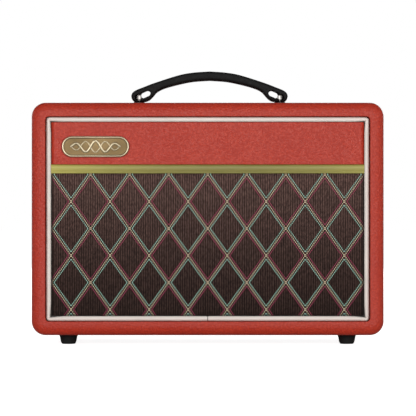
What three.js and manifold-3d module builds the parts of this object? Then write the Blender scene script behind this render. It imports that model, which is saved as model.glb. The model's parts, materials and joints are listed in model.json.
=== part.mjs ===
// A small combo guitar amplifier, in millimetres, +Z up.
// The front faces -Y, the feet stand on Z = 0, and X = 0, Y = 0 is the middle of the cabinet.

import * as THREE from 'three';
import { mergeVertices } from 'three/addons/utils/BufferGeometryUtils.js';
import Module from 'manifold-3d';

const wasm = await Module();
wasm.setup();

// ---------- Driving dimensions ----------

const GAP = 0.3; // air kept between pieces that touch
const FOOT_HEIGHT = 10.5;
const FEET = { front: { x: 151.5, y: -53 }, rear: { x: 157.5, y: 53 } };
const FOOT_TOP_RADIUS = 10.2;
const FOOT_FLAT_RADIUS = 6.4; // of the face that meets the floor
const WIDTH = 380;
const DEPTH = 170;
const HEIGHT = 251; // of the box alone
const BOARD = 15; // thickness of the cabinet walls
const CORNER_RADIUS = 15;
const EDGE_RADIUS = 8; // round-over of the front and rear edges

const FRONT = -DEPTH / 2;
const REAR = DEPTH / 2;
const BASE = FOOT_HEIGHT;
const TOP = BASE + HEIGHT;
const INNER_X = WIDTH / 2 - BOARD;
const INNER_LOW = BASE + BOARD;
const INNER_HIGH = TOP - BOARD;

// Front assembly: a full board carrying the cloth, the gold bead and the fascia, with piping round it.
const BAFFLE_FRONT = FRONT + 10;
const BAFFLE_REAR = BAFFLE_FRONT + 12;
const BAFFLE_MARGIN = 1.5; // clearance of the baffle board in the cabinet
const PIPING_INSET = 1.3; // gap between the piping and the side walls
const PIPING_INSET_Z = 1; // and the top and bottom walls
const PIPING_ROUND = 1.4; // chamfer of the cord's section
const PIPING_WIDTH = 4.4;
const FACING_INSET = 6; // from the cabinet wall to the edge of the cloth and the fascia
const CLOTH_THICKNESS = 1;
const FASCIA_THICKNESS = 2.5;
const STRIP_LOW = 185.5;
const STRIP_HIGH = 195.2;

// Speaker, on an axis along Y.
const SPEAKER_Z = 112;
const SPEAKER_FRONT = BAFFLE_REAR + GAP;
const FRAME_RADIUS = 82;
const CUTOUT_RADIUS = 72.5;
const CONE_RADIUS = 61;
const COIL_RADIUS = 13.2;
const MAGNET_RADIUS = 40;

// Control panel, sunk in the top board behind the handle.
const WELL_X = 165;
const WELL_FRONT = 14;
const WELL_REAR = 68;
const CONTROL_Y = 41;
const SHEET = 1.5; // chassis steel
const CHASSIS_X = 172;
const CHASSIS_FRONT = -14;
const CHASSIS_REAR = 80;
const CHASSIS_LOW = 190;
const PANEL_Z = INNER_HIGH - GAP; // outer face of the panel
const UNDER_PANEL = PANEL_Z - SHEET - GAP; // where bodies under the panel end
const BODY_LOW = 233.6; // underside of the controls' bodies
const KNOBS = { gain: -96, treble: -40, bass: 2, volume: 44 };
const INPUT_JACK_X = -142;
const PHONES_JACK_X = 86;
const CHANNEL_X = -68;
const LAMP_X = 114;
const POWER_X = 142;
const INLET_X = 118;
const INLET_Z = 216;

// Carrying handle.
const HANDLE_X = 2;
const HANDLE_Y = -32;
const HANDLE_WIDTH = 24;
const STUD_OFFSET = 77.2; // from the handle's middle
const SLOT_END = { x: 67.9, z: 11.9 }; // centre of the slot's inner end, above the cabinet
const SLOT_TILT = THREE.MathUtils.degToRad(24); // down towards the stud
const SLOT_THROUGH = 4.5; // length along the tilt that is open from front to rear
const POCKET_END = 11.6; // length along the tilt to the outer end of the stud's pocket
const SLOT_RADIUS = 3.3;
const POCKET_DEPTH = 17; // from the strap's front face, past the stud
const SEAT_TOP = 2.5; // top of the washer under each eye
const SEAT_RADIUS = 6.2;
const EYE_LOW = SEAT_TOP + GAP;
const EYE_FLOOR = 4.1; // flat seat under the stud's head
const LIFT = 1.5; // free play of the handle on its studs
const STUD_SHANK = 2; // radii of the stud
const STUD_NECK = 1.6;
const STUD_HEAD = 2.7;
const STUD_HIGH = 10.4; // top of the stud above the cabinet
const HEAD_ROOM = 0.6; // clearance of the eye round the head and the neck
const NECK_ROOM = 0.4;
const STUD_HOLE = 2.8; // in the top board
const STUD_BELOW = 24; // length of the shank below the cabinet's top

// ---------- Materials ----------

function material(color, roughness, metalness = 0) {
  return new THREE.MeshStandardMaterial({ color, roughness, metalness });
}

const redVinyl = material(0xb44c42, 0.45);
const clothBrown = material(0x4a3733, 0.9);
const gold = material(0xa99c58, 0.35, 0.8);
const pipingWhite = material(0xdcd4cc, 0.45);
const badgeGold = material(0xa8955c, 0.3, 0.9);
const board = material(0x9b7b55, 0.8);
const blackVinyl = material(0x1f1e1d, 0.6);
const blackRubber = material(0x1d1c1b, 0.75);
const chrome = material(0xd0d0d0, 0.12, 1);
const steel = material(0x8d8f92, 0.4, 0.9);
const blackSteel = material(0x1b1b1c, 0.5, 0.6);
const ferrite = material(0x2b2b2d, 0.7);
const blackPlastic = material(0x161616, 0.4);
const paperCone = material(0x222020, 0.95);
const spiderCloth = material(0xb08a4a, 0.9);
const copper = material(0xb0683a, 0.4, 0.8);
const boardGreen = material(0x2f5b35, 0.5);
const aluminium = material(0xa5a7aa, 0.4, 0.9);
const lampRed = material(0xc01818, 0.15);
const knobBlack = material(0x191817, 0.35);

// ---------- Solids ----------

function toSolid(geometry) {
  const bare = geometry.clone();
  bare.deleteAttribute('normal');
  bare.deleteAttribute('uv');
  const merged = mergeVertices(bare, 1e-4);
  return new wasm.Manifold(new wasm.Mesh({
    numProp: 3,
    vertProperties: new Float32Array(merged.attributes.position.array),
    triVerts: new Uint32Array(merged.index.array),
  }));
}

function toGeometry(solid) {
  const mesh = solid.getMesh();
  const geometry = new THREE.BufferGeometry();
  geometry.setAttribute('position', new THREE.BufferAttribute(new Float32Array(mesh.vertProperties), 3));
  geometry.setIndex(new THREE.BufferAttribute(new Uint32Array(mesh.triVerts), 1));
  return geometry;
}

function cut(geometry, ...tools) {
  return toGeometry(tools.reduce((solid, tool) => solid.subtract(toSolid(tool)), toSolid(geometry)));
}

function join(geometry, ...others) {
  return toGeometry(others.reduce((solid, other) => solid.add(toSolid(other)), toSolid(geometry)));
}

// A block between two values on each axis.
function block([x0, x1], [y0, y1], [z0, z1]) {
  const geometry = new THREE.BoxGeometry(x1 - x0, y1 - y0, z1 - z0);
  return geometry.translate((x0 + x1) / 2, (y0 + y1) / 2, (z0 + z1) / 2);
}

// An upright cylinder on the Z axis.
function rod(radius, z0, z1, sides = 24) {
  const geometry = new THREE.CylinderGeometry(radius, radius, z1 - z0, sides);
  return geometry.rotateX(Math.PI / 2).translate(0, 0, (z0 + z1) / 2);
}

// A cylinder on the Y axis.
function bar(radius, y0, y1, sides = 32) {
  return new THREE.CylinderGeometry(radius, radius, y1 - y0, sides).translate(0, (y0 + y1) / 2, 0);
}

// A solid of revolution about Z, from [radius, z] pairs.
function turned(profile, sides = 16) {
  return turnedAlongY(profile, sides).rotateX(Math.PI / 2);
}

// A solid of revolution about Y, from [radius, y] pairs.
function turnedAlongY(profile, sides = 32) {
  const points = profile.map(([radius, along]) => new THREE.Vector2(radius, along));
  const geometry = new THREE.LatheGeometry(points, sides);
  return toGeometry(outward(geometry));
}

// A revolved profile may run either way round, so its faces are turned out if they point in.
function outward(geometry) {
  const bare = geometry.clone();
  const position = bare.attributes.position;
  const index = bare.index.array;
  const [a, b, c] = [new THREE.Vector3(), new THREE.Vector3(), new THREE.Vector3()];
  let volume = 0;
  for (let i = 0; i < index.length; i += 3) {
    a.fromBufferAttribute(position, index[i]);
    b.fromBufferAttribute(position, index[i + 1]);
    c.fromBufferAttribute(position, index[i + 2]);
    volume += a.dot(b.cross(c));
  }
  if (volume < 0) {
    for (let i = 0; i < index.length; i += 3) {
      [index[i], index[i + 1]] = [index[i + 1], index[i]];
    }
  }
  return toSolid(bare);
}

const AXIS_X = new THREE.Vector3(1, 0, 0);
const AXIS_Y = new THREE.Vector3(0, 1, 0);
const AXIS_Z = new THREE.Vector3(0, 0, 1);

// A shape drawn in X and Z, from y0 to y1. A bevel grows the outline and stays inside y0 and y1.
function plate(shape, y0, y1, bevel = 0, curveSegments = 5) {
  const geometry = new THREE.ExtrudeGeometry(shape, {
    depth: y1 - y0 - 2 * bevel,
    bevelEnabled: bevel > 0,
    bevelThickness: bevel,
    bevelSize: bevel,
    bevelSegments: bevel > 2 ? 3 : 1,
    curveSegments,
  });
  const basis = new THREE.Matrix4().makeBasis(AXIS_X, AXIS_Z, AXIS_Y.clone().negate());
  return geometry.applyMatrix4(basis).translate(0, y1 - bevel, 0);
}

// A shape drawn in Y and Z, from x0 to x1.
function beam(shape, x0, x1) {
  const geometry = new THREE.ExtrudeGeometry(shape, { depth: x1 - x0, bevelEnabled: false, curveSegments: 8 });
  const basis = new THREE.Matrix4().makeBasis(AXIS_Y, AXIS_Z, AXIS_X);
  return geometry.applyMatrix4(basis).translate(x0, 0, 0);
}

function roundedRectangle(width, height, radius, cx = 0, cy = 0) {
  const x = width / 2 - radius;
  const y = height / 2 - radius;
  const shape = new THREE.Shape();
  shape.absarc(cx + x, cy + y, radius, 0, Math.PI / 2);
  shape.absarc(cx - x, cy + y, radius, Math.PI / 2, Math.PI);
  shape.absarc(cx - x, cy - y, radius, Math.PI, 1.5 * Math.PI);
  shape.absarc(cx + x, cy - y, radius, 1.5 * Math.PI, 2 * Math.PI);
  return shape;
}

function outline(points) {
  return new THREE.Shape(points.map(([x, y]) => new THREE.Vector2(x, y)));
}

const amplifier = new THREE.Group();

function place(parent, name, geometry, look, x = 0, y = 0, z = 0) {
  const mesh = new THREE.Mesh(geometry, look);
  mesh.name = name;
  mesh.position.set(x, y, z);
  parent.add(mesh);
  return mesh;
}

const SIDES = [['left', -1], ['right', 1]];

// ---------- Cabinet ----------

function cabinetShell() {
  const middle = BASE + HEIGHT / 2;
  const outer = plate(
    roundedRectangle(WIDTH - 2 * EDGE_RADIUS, HEIGHT - 2 * EDGE_RADIUS, CORNER_RADIUS - EDGE_RADIUS, 0, middle),
    FRONT, REAR, EDGE_RADIUS,
  );
  const inner = block([-INNER_X, INNER_X], [FRONT - 1, REAR + 1], [INNER_LOW, INNER_HIGH]);
  const well = block([-WELL_X, WELL_X], [WELL_FRONT, WELL_REAR], [INNER_HIGH - 1, TOP + 1]);
  const studHoles = SIDES.map(([, side]) =>
    rod(STUD_HOLE, INNER_HIGH - 1, TOP + 1, 16).translate(HANDLE_X + side * STUD_OFFSET, HANDLE_Y, 0));
  return cut(outer, inner, well, ...studHoles);
}

function foot() {
  const high = FOOT_HEIGHT - GAP;
  return turned([[0, 0], [FOOT_FLAT_RADIUS, 0], [7.6, 0.7], [8, 1.8], [FOOT_TOP_RADIUS, high], [0, high]]);
}

place(amplifier, 'cabinet_shell', cabinetShell(), redVinyl);

for (const [side, sign] of SIDES) {
  for (const [end, spot] of Object.entries(FEET)) {
    place(amplifier, `foot_${end}_${side}`, foot(), blackRubber, sign * spot.x, spot.y, 0);
  }
}

const CLEAT = 15;
const FRONT_CLEAT_DEPTH = 18;
const BACK_BOARD_TOP = 135;
const BACK_BOARD_FRONT = 74;
const BACK_BOARD_REAR = 83;
const BACK_BOARD_MARGIN = 0.5; // clearance of the back board in the cabinet

for (const [side, sign] of SIDES) {
  const x = sign * (INNER_X - GAP - CLEAT / 2);
  const across = [-CLEAT / 2, CLEAT / 2];
  const low = INNER_LOW + GAP;
  const behindBaffle = BAFFLE_REAR + GAP;
  const front = block(across, [behindBaffle, behindBaffle + FRONT_CLEAT_DEPTH], [low, CHASSIS_LOW - 1]);
  const rear = block(across, [BACK_BOARD_FRONT - GAP - CLEAT, BACK_BOARD_FRONT - GAP], [low, BACK_BOARD_TOP]);
  place(amplifier, `cleat_front_${side}`, front, board, x);
  place(amplifier, `cleat_rear_${side}`, rear, board, x);
}

place(amplifier, 'back_panel',
  block([-INNER_X + BACK_BOARD_MARGIN, INNER_X - BACK_BOARD_MARGIN], [BACK_BOARD_FRONT, BACK_BOARD_REAR],
    [INNER_LOW + BACK_BOARD_MARGIN, BACK_BOARD_TOP]),
  blackVinyl);

// ---------- Front ----------

const FACING_X = INNER_X - FACING_INSET;

function baffleBoard() {
  const sheet = block(
    [-INNER_X + BAFFLE_MARGIN, INNER_X - BAFFLE_MARGIN],
    [BAFFLE_FRONT, BAFFLE_REAR],
    [INNER_LOW + BAFFLE_MARGIN, INNER_HIGH - BAFFLE_MARGIN],
  );
  return cut(sheet, bar(CUTOUT_RADIUS, BAFFLE_FRONT - 1, BAFFLE_REAR + 1).translate(0, 0, SPEAKER_Z));
}

// A white cord laid round the front with its ends butted at the bottom.
function piping() {
  const middle = (INNER_LOW + INNER_HIGH) / 2;
  const width = 2 * (INNER_X - PIPING_INSET - PIPING_ROUND);
  const height = INNER_HIGH - INNER_LOW - 2 * (PIPING_INSET_Z + PIPING_ROUND);
  const ring = roundedRectangle(width, height, 3, 0, middle);
  const thick = 2 * (PIPING_WIDTH - 2 * PIPING_ROUND);
  ring.holes.push(roundedRectangle(width - thick, height - thick, 1.5, 0, middle));
  const cord = plate(ring, BAFFLE_FRONT - GAP - PIPING_WIDTH, BAFFLE_FRONT - GAP, PIPING_ROUND, 2);
  return cut(cord, block([-0.2, 0.2], [FRONT, BAFFLE_FRONT], [INNER_LOW, INNER_LOW + 10]));
}

// A half-round bead over a lower lip.
function goldStrip() {
  const seat = BAFFLE_FRONT - GAP;
  const section = new THREE.Shape();
  section.moveTo(seat, STRIP_LOW);
  section.lineTo(seat, STRIP_HIGH);
  section.quadraticCurveTo(seat - 3.6, STRIP_HIGH, seat - 3.6, STRIP_HIGH - 3.2);
  section.quadraticCurveTo(seat - 3.4, STRIP_LOW + 2.6, seat - 2.2, STRIP_LOW + 2);
  section.lineTo(seat - 2.4, STRIP_LOW);
  return beam(section, -FACING_X, FACING_X);
}

place(amplifier, 'baffle_board', baffleBoard(), board);
place(amplifier, 'white_piping', piping(), pipingWhite);
place(amplifier, 'gold_trim_strip', goldStrip(), gold);
place(amplifier, 'grille_cloth',
  block([-FACING_X, FACING_X], [BAFFLE_FRONT - GAP - CLOTH_THICKNESS, BAFFLE_FRONT - GAP],
    [INNER_LOW + FACING_INSET, STRIP_LOW - GAP]),
  clothBrown);

const FASCIA_FRONT = BAFFLE_FRONT - GAP - FASCIA_THICKNESS;
const FASCIA_HIGH = INNER_HIGH - FACING_INSET;

function fascia() {
  const bevel = 0.8;
  const width = 2 * FACING_X - 2 * bevel;
  const height = FASCIA_HIGH - STRIP_HIGH - GAP - 2 * bevel;
  const middle = (FASCIA_HIGH + STRIP_HIGH + GAP) / 2;
  return plate(roundedRectangle(width, height, 0.5, 0, middle), FASCIA_FRONT, BAFFLE_FRONT - GAP, bevel, 1);
}

place(amplifier, 'fascia_panel', fascia(), redVinyl);

// A plain nameplate blank with rounded ends.
const BADGE = { width: 73, height: 22.7, thick: 2.5, x: -121, z: 214 };

function badge() {
  const bevel = 0.7;
  const height = BADGE.height - 2 * bevel;
  return plate(roundedRectangle(BADGE.width - 2 * bevel, height, height / 2 - 0.01), -BADGE.thick, 0, bevel, 6);
}

place(amplifier, 'badge', badge(), badgeGold, BADGE.x, FASCIA_FRONT - GAP, BADGE.z);

// ---------- Handle ----------

// The right half of the strap's outline: distance from the middle and height above the cabinet.
const STRAP_HALF = [
  [0, 35.8], [18, 34.5], [33.8, 31.6], [59.1, 23.6], [71.5, 18.9], [80.6, 15.2], [84.6, 12], [85.7, 8.6],
  [84.6, 4.8], [82, 2.8], [77, 2.8], [71, 2.8], [66.6, 4.2], [63.3, 6.9], [60.3, 10.3], [57.2, 13.6],
  [49, 17.6], [33.8, 21.8], [18, 24.9], [0, 26.2],
];

function strapOutline() {
  const left = STRAP_HALF.slice(1, -1).reverse().map(([x, z]) => [-x, z]);
  const loop = [...STRAP_HALF, ...left].map(([x, z]) => new THREE.Vector3(x, z, 0));
  const curve = new THREE.CatmullRomCurve3(loop, true, 'centripetal');
  const points = curve.getPoints(loop.length * 2).slice(0, -1);
  return new THREE.Shape(points.map((p) => new THREE.Vector2(p.x, Math.max(p.y, EYE_LOW))));
}

// A round-ended slot along the eye's tilt, from y0 to y1.
function eyeSlot(side, from, to, radius, y0, y1) {
  const length = to - from + 2 * radius;
  const shape = roundedRectangle(length, 2 * radius, radius - 0.01, side * (from + to) / 2, 0);
  const cutter = plate(shape, y0, y1, 0, 8);
  return cutter.rotateY(side * SLOT_TILT).translate(side * SLOT_END.x, 0, SLOT_END.z);
}

// The inner part of each slot goes through the strap; the outer part is a pocket round the stud.
function handleStrap() {
  const front = -HANDLE_WIDTH / 2;
  const strap = plate(strapOutline(), front, HANDLE_WIDTH / 2);
  const cutters = [];
  for (const [, side] of SIDES) {
    cutters.push(eyeSlot(side, 0, POCKET_END, SLOT_RADIUS, -HANDLE_WIDTH, front + POCKET_DEPTH));
    cutters.push(eyeSlot(side, 0, SLOT_THROUGH, SLOT_RADIUS - 0.3, -HANDLE_WIDTH, HANDLE_WIDTH));
    cutters.push(rod(STUD_HEAD + HEAD_ROOM, EYE_FLOOR, SLOT_END.z, 20).translate(side * STUD_OFFSET, 0, 0));
    cutters.push(rod(STUD_NECK + NECK_ROOM, 0, EYE_FLOOR + 1, 20).translate(side * STUD_OFFSET, 0, 0));
  }
  return cut(strap, ...cutters);
}

// A round head on a neck that the eye slides on, over a threaded shank.
function handleStud() {
  const head = EYE_FLOOR + LIFT + 0.1;
  return turned([
    [0, -STUD_BELOW], [STUD_SHANK, -STUD_BELOW], [STUD_SHANK, 0.2], [STUD_NECK, 0.2], [STUD_NECK, head],
    [STUD_HEAD, head], [STUD_HEAD, STUD_HIGH - 0.7], [STUD_HEAD - 0.6, STUD_HIGH], [0, STUD_HIGH],
  ]);
}

const handle = new THREE.Group();
handle.position.set(HANDLE_X, HANDLE_Y, TOP);
amplifier.add(handle);
place(handle, 'handle_strap', handleStrap(), blackRubber);
for (const [side, sign] of SIDES) {
  const x = sign * STUD_OFFSET;
  const bore = STUD_NECK + GAP;
  const washer = turned([
    [bore, GAP], [SEAT_RADIUS, GAP], [SEAT_RADIUS, SEAT_TOP], [bore, SEAT_TOP], [bore, GAP],
  ]);
  place(handle, `handle_seat_${side}`, washer, blackPlastic, x);
  place(handle, `handle_stud_${side}`, handleStud(), chrome, x);
  const nut = cut(rod(5, -BOARD - GAP - 4, -BOARD - GAP, 6), rod(STUD_SHANK + GAP, -BOARD - 6, -BOARD, 16));
  place(handle, `handle_nut_${side}`, nut, steel, x);
}

// ---------- Speaker ----------

const speaker = new THREE.Group();
speaker.position.set(0, SPEAKER_FRONT, SPEAKER_Z);
amplifier.add(speaker);

// Distances along the axis are measured back from the mounting flange.
const SPIDER_AT = 33.5;
const BASKET_BACK = 42;
const PLATE_BACK = BASKET_BACK + GAP + 5;
const MAGNET_BACK = PLATE_BACK + GAP + 12;
const YOKE_BACK = MAGNET_BACK + GAP + 5;

function basket() {
  const shell = turnedAlongY([
    [FRAME_RADIUS, 0], [FRAME_RADIUS, 1.5], [74, 1.5], [72, 4.7], [44, 34.7], [40.5, BASKET_BACK],
    [14.8, BASKET_BACK], [14.8, BASKET_BACK - 1.5], [39.3, BASKET_BACK - 1.5], [42.4, 34.7], [70.5, 4.7],
    [70.5, 0], [FRAME_RADIUS, 0],
  ]);
  const windows = [];
  for (let i = 0; i < 6; i++) {
    windows.push(block([30, 90], [9, 30], [-16, 16]).rotateY(i * Math.PI / 3));
  }
  return cut(shell, ...windows);
}

// A shallow paper cone that stands still at the middle of its stroke.
function cone() {
  return turnedAlongY([
    [CONE_RADIUS, 1.2], [CONE_RADIUS, 2.2], [COIL_RADIUS + 1.2, 27.4], [COIL_RADIUS + 0.6, 26.4],
    [CONE_RADIUS, 1.2],
  ]);
}

// A half-roll ring that joins the cone to the frame.
function surround() {
  const centre = CONE_RADIUS + 4.6;
  const profile = [];
  for (let i = 0; i <= 5; i++) {
    const turn = Math.PI * i / 5;
    profile.push([centre + 4.2 * Math.cos(turn), 2.6 - 4.2 * Math.sin(turn)]);
  }
  for (let i = 5; i >= 0; i--) {
    const turn = Math.PI * i / 5;
    profile.push([centre + 3.4 * Math.cos(turn), 2.6 - 3.4 * Math.sin(turn)]);
  }
  profile.push(profile[0]);
  return turnedAlongY(profile);
}

function dustCap() {
  const outer = [[0, 17.6], [8, 18.8], [13.5, 21.4], [17, 23.4]];
  const inner = outer.map(([radius, along]) => [radius, along + 0.7]).reverse();
  return turnedAlongY([...outer, ...inner], 24);
}

place(speaker, 'speaker_basket', basket(), blackSteel);
place(speaker, 'speaker_cone', cone(), paperCone);
place(speaker, 'cone_surround', surround(), blackRubber);
place(speaker, 'dust_cap', dustCap(), paperCone);
place(speaker, 'voice_coil', turnedAlongY([
  [COIL_RADIUS - 0.7, 25.5], [COIL_RADIUS, 25.5], [COIL_RADIUS, 51], [COIL_RADIUS - 0.7, 51],
  [COIL_RADIUS - 0.7, 25.5],
], 24), copper);
place(speaker, 'cone_spider', turnedAlongY([
  [COIL_RADIUS + 0.4, SPIDER_AT], [41.4, SPIDER_AT], [41.4, SPIDER_AT + 0.9],
  [COIL_RADIUS + 0.4, SPIDER_AT + 0.9], [COIL_RADIUS + 0.4, SPIDER_AT],
]), spiderCloth);
place(speaker, 'speaker_top_plate', turnedAlongY([
  [COIL_RADIUS + 0.8, BASKET_BACK + GAP], [36, BASKET_BACK + GAP], [36, PLATE_BACK],
  [COIL_RADIUS + 0.8, PLATE_BACK], [COIL_RADIUS + 0.8, BASKET_BACK + GAP],
]), steel);
place(speaker, 'speaker_magnet', turnedAlongY([
  [18, PLATE_BACK + GAP], [MAGNET_RADIUS, PLATE_BACK + GAP], [MAGNET_RADIUS, MAGNET_BACK],
  [18, MAGNET_BACK], [18, PLATE_BACK + GAP],
]), ferrite);
place(speaker, 'speaker_yoke', turnedAlongY([
  [0, BASKET_BACK + 1], [COIL_RADIUS - 1.4, BASKET_BACK + 1], [COIL_RADIUS - 1.4, MAGNET_BACK + GAP],
  [36, MAGNET_BACK + GAP], [36, YOKE_BACK], [0, YOKE_BACK],
]), steel);
place(speaker, 'speaker_terminal', block([-8, 8], [35, 37.5], [45.2, 56]), blackPlastic);

// The two-core lead climbs from the tags into the open underside of the chassis.
const LEAD_ROUTE = [
  [0, -26.4, 168.4], [0, -24.5, 176], [-3, -10, 181], [-8, 12, 184], [-14, 26, 196], [-16, 30, 214],
  [-16, 30, 231.2],
];

function speakerLead() {
  const route = new THREE.CatmullRomCurve3(LEAD_ROUTE.map((p) => new THREE.Vector3(...p)));
  const section = new THREE.Shape();
  section.absarc(0, 0, 1.7, 0, 2 * Math.PI);
  return new THREE.ExtrudeGeometry(section, { steps: 24, extrudePath: route, curveSegments: 4 });
}

place(amplifier, 'speaker_cable', speakerLead(), blackPlastic);

// ---------- Chassis and controls ----------

function upright(radius, x, y = CONTROL_Y) {
  return rod(radius, PANEL_Z - SHEET - 1, PANEL_Z + 1, 20).translate(x, y, 0);
}

function chassis() {
  const tray = block([-CHASSIS_X, CHASSIS_X], [CHASSIS_FRONT, CHASSIS_REAR], [CHASSIS_LOW, PANEL_Z]);
  const inside = block([-CHASSIS_X + SHEET, CHASSIS_X - SHEET],
    [CHASSIS_FRONT + SHEET, CHASSIS_REAR - SHEET], [CHASSIS_LOW - 1, PANEL_Z - SHEET]);
  const holes = [
    ...Object.values(KNOBS).map((x) => upright(4.8, x)),
    upright(5.1, INPUT_JACK_X),
    upright(5.1, PHONES_JACK_X),
    upright(5, CHANNEL_X),
    upright(2.9, LAMP_X),
    block([POWER_X - 6.6, POWER_X + 6.6], [CONTROL_Y - 9.6, CONTROL_Y + 9.6], [PANEL_Z - 3, PANEL_Z + 1]),
    block([INLET_X - 14, INLET_X + 14], [CHASSIS_REAR - 3, CHASSIS_REAR + 1], [INLET_Z - 10, INLET_Z + 10]),
  ];
  const vents = [];
  for (let i = 0; i < 12; i++) {
    const x = -130 + i * 10;
    vents.push(block([x - 1.7, x + 1.7], [CHASSIS_REAR - 3, CHASSIS_REAR + 1], [204, 230]));
  }
  return cut(tray, inside, ...holes, ...vents);
}

place(amplifier, 'chassis', chassis(), blackSteel);

// A potentiometer's can and threaded bush, bored for the shaft.
function potBody() {
  return turned([
    [0, BODY_LOW], [8.5, BODY_LOW], [8.5, UNDER_PANEL], [4.4, UNDER_PANEL], [4.4, PANEL_Z + 4.2],
    [3.3, PANEL_Z + 4.2], [3.3, BODY_LOW + 2.4], [0, BODY_LOW + 2.4],
  ]);
}

const KNOB_LOW = PANEL_Z + 4.6;
const KNOB_TOP = KNOB_LOW + 14.2;

// A skirted knob with a raised pointer towards the rear, drilled for its shaft.
function knob() {
  const body = turned([
    [0, KNOB_TOP - 3], [3.3, KNOB_TOP - 3], [3.3, KNOB_LOW], [9.6, KNOB_LOW], [9.6, KNOB_LOW + 1.8],
    [7.4, KNOB_LOW + 3.2], [6.8, KNOB_TOP - 0.8], [6.1, KNOB_TOP], [0, KNOB_TOP],
  ]);
  return join(body, block([-1.1, 1.1], [5, 9.1], [KNOB_LOW + 1, KNOB_TOP - 1.4]));
}

for (const [name, x] of Object.entries(KNOBS)) {
  place(amplifier, `${name}_pot_body`, potBody(), steel, x, CONTROL_Y);
  place(amplifier, `${name}_shaft`, rod(3, BODY_LOW + 2.7, KNOB_TOP - 3.3, 16), aluminium, x, CONTROL_Y);
  place(amplifier, `${name}_knob`, knob(), knobBlack, x, CONTROL_Y);
}

// A quarter-inch jack: a moulded body, a threaded nose and an open bore.
function jack() {
  const body = block([-7.5, 7.5], [-7.5, 7.5], [222, UNDER_PANEL]);
  const nose = rod(4.7, UNDER_PANEL - 1, PANEL_Z + 3.4, 16);
  return cut(join(body, nose), rod(3.3, 225, PANEL_Z + 5, 16));
}

place(amplifier, 'input_jack', jack(), blackPlastic, INPUT_JACK_X, CONTROL_Y);
place(amplifier, 'phones_jack', jack(), blackPlastic, PHONES_JACK_X, CONTROL_Y);

// The channel button drops 3 mm into its switch.
const PRESS = 3;

function channelSwitch() {
  const body = block([-6.5, 6.5], [-6.5, 6.5], [BODY_LOW, UNDER_PANEL]);
  const well = rod(4.9, UNDER_PANEL - PRESS - 0.4, UNDER_PANEL + 1, 20);
  return cut(body, well, rod(2.9, BODY_LOW + 3, UNDER_PANEL, 16));
}

function channelButton() {
  const low = UNDER_PANEL;
  return turned([
    [0, low - 4.1], [2.5, low - 4.1], [2.5, low], [4.5, low], [4.5, low + 9.6], [3.6, low + 10.4],
    [0, low + 10.7],
  ]);
}

place(amplifier, 'channel_switch', channelSwitch(), blackPlastic, CHANNEL_X, CONTROL_Y);
place(amplifier, 'channel_button', channelButton(), blackPlastic, CHANNEL_X, CONTROL_Y);

// Power switch: a bezel on the panel, a body below it and a rocker on a cross pin.
const ROCKER_PIVOT_Z = PANEL_Z - 3.2;
const ROCKER_TILT = THREE.MathUtils.degToRad(9);

function powerSwitch() {
  const bezel = block([-7.5, 7.5], [-10.5, 10.5], [PANEL_Z + GAP, PANEL_Z + 2.1]);
  const body = block([-6.3, 6.3], [-9.3, 9.3], [226, PANEL_Z + 1]);
  return cut(join(bezel, body), block([-5.2, 5.2], [-8.2, 8.2], [238, PANEL_Z + 3]));
}

function rocker() {
  const section = outline([[-7, 1.2], [-2, -2.8], [2, -2.8], [7, 1.2], [7, 5.2], [0, 4], [-7, 5.2]].reverse());
  return beam(section, -4.9, 4.9);
}

place(amplifier, 'power_switch', powerSwitch(), blackPlastic, POWER_X, CONTROL_Y);
const powerRocker = place(amplifier, 'power_rocker', rocker(), blackPlastic, POWER_X, CONTROL_Y, ROCKER_PIVOT_Z);
powerRocker.rotation.x = -ROCKER_TILT;

place(amplifier, 'power_lamp', turned([
  [0, 238], [2.5, 238], [2.5, PANEL_Z + 0.6], [1.8, PANEL_Z + 2.2], [0, PANEL_Z + 2.9],
]), lampRed, LAMP_X, CONTROL_Y);

// Mains inlet: a flanged socket with three flat pins standing in its recess.
function mainsInlet() {
  const flange = block([-15.5, 15.5], [CHASSIS_REAR + GAP, CHASSIS_REAR + 2.3], [-12, 12]);
  const body = block([-13.7, 13.7], [58, CHASSIS_REAR + 1], [-9.7, 9.7]);
  const recess = block([-12, 12], [66, CHASSIS_REAR + 3], [-8, 8]);
  const pin = block([-1, 1], [65, 79], [-2, 2]);
  const pins = [
    pin.clone().translate(-7, 0, -2.5),
    pin.clone().translate(7, 0, -2.5),
    pin.clone().translate(0, 0, 3.5),
  ];
  return join(cut(join(flange, body), recess), ...pins);
}

place(amplifier, 'mains_inlet', mainsInlet(), blackPlastic, INLET_X, 0, INLET_Z);

// ---------- Electronics ----------

// A laminated core with two windows, and a winding round its middle limb.
function transformerCore() {
  const stack = block([-24, 24], [-14, 14], [-20, 20]);
  return cut(stack, block([8, 16], [-15, 15], [-12, 12]), block([-16, -8], [-15, 15], [-12, 12]));
}

const transformer = new THREE.Group();
transformer.position.set(118, 10, UNDER_PANEL - 20);
amplifier.add(transformer);
place(transformer, 'transformer_core', transformerCore(), steel);
place(transformer, 'transformer_winding', cut(
  block([-15.7, 15.7], [-20, 20], [-11.7, 11.7]),
  block([-8.3, 8.3], [-14.3, 14.3], [-13, 13]),
), copper);

place(amplifier, 'circuit_board', block([-128, 66], [14, 72], [BODY_LOW - GAP - 1.6, BODY_LOW - GAP]),
  boardGreen);

// A finned extrusion against the front wall of the chassis.
function heatsink() {
  const low = CHASSIS_FRONT + SHEET + GAP;
  const fins = [];
  for (let i = 0; i < 9; i++) {
    const x = -40 + i * 9.75;
    fins.push(block([x, x + 2], [low + 1, low + 20], [200, 240]));
  }
  return join(block([-40, 40], [low, low + 3], [200, 240]), ...fins);
}

place(amplifier, 'heatsink', heatsink(), aluminium);
place(amplifier, 'smoothing_capacitor', rod(8, 206, BODY_LOW - 2 * GAP - 1.6, 20), blackPlastic, 40, 56);

export default amplifier;
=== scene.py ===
import json
import math
import random

import bmesh
import bpy
from mathutils import Matrix, Vector

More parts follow.
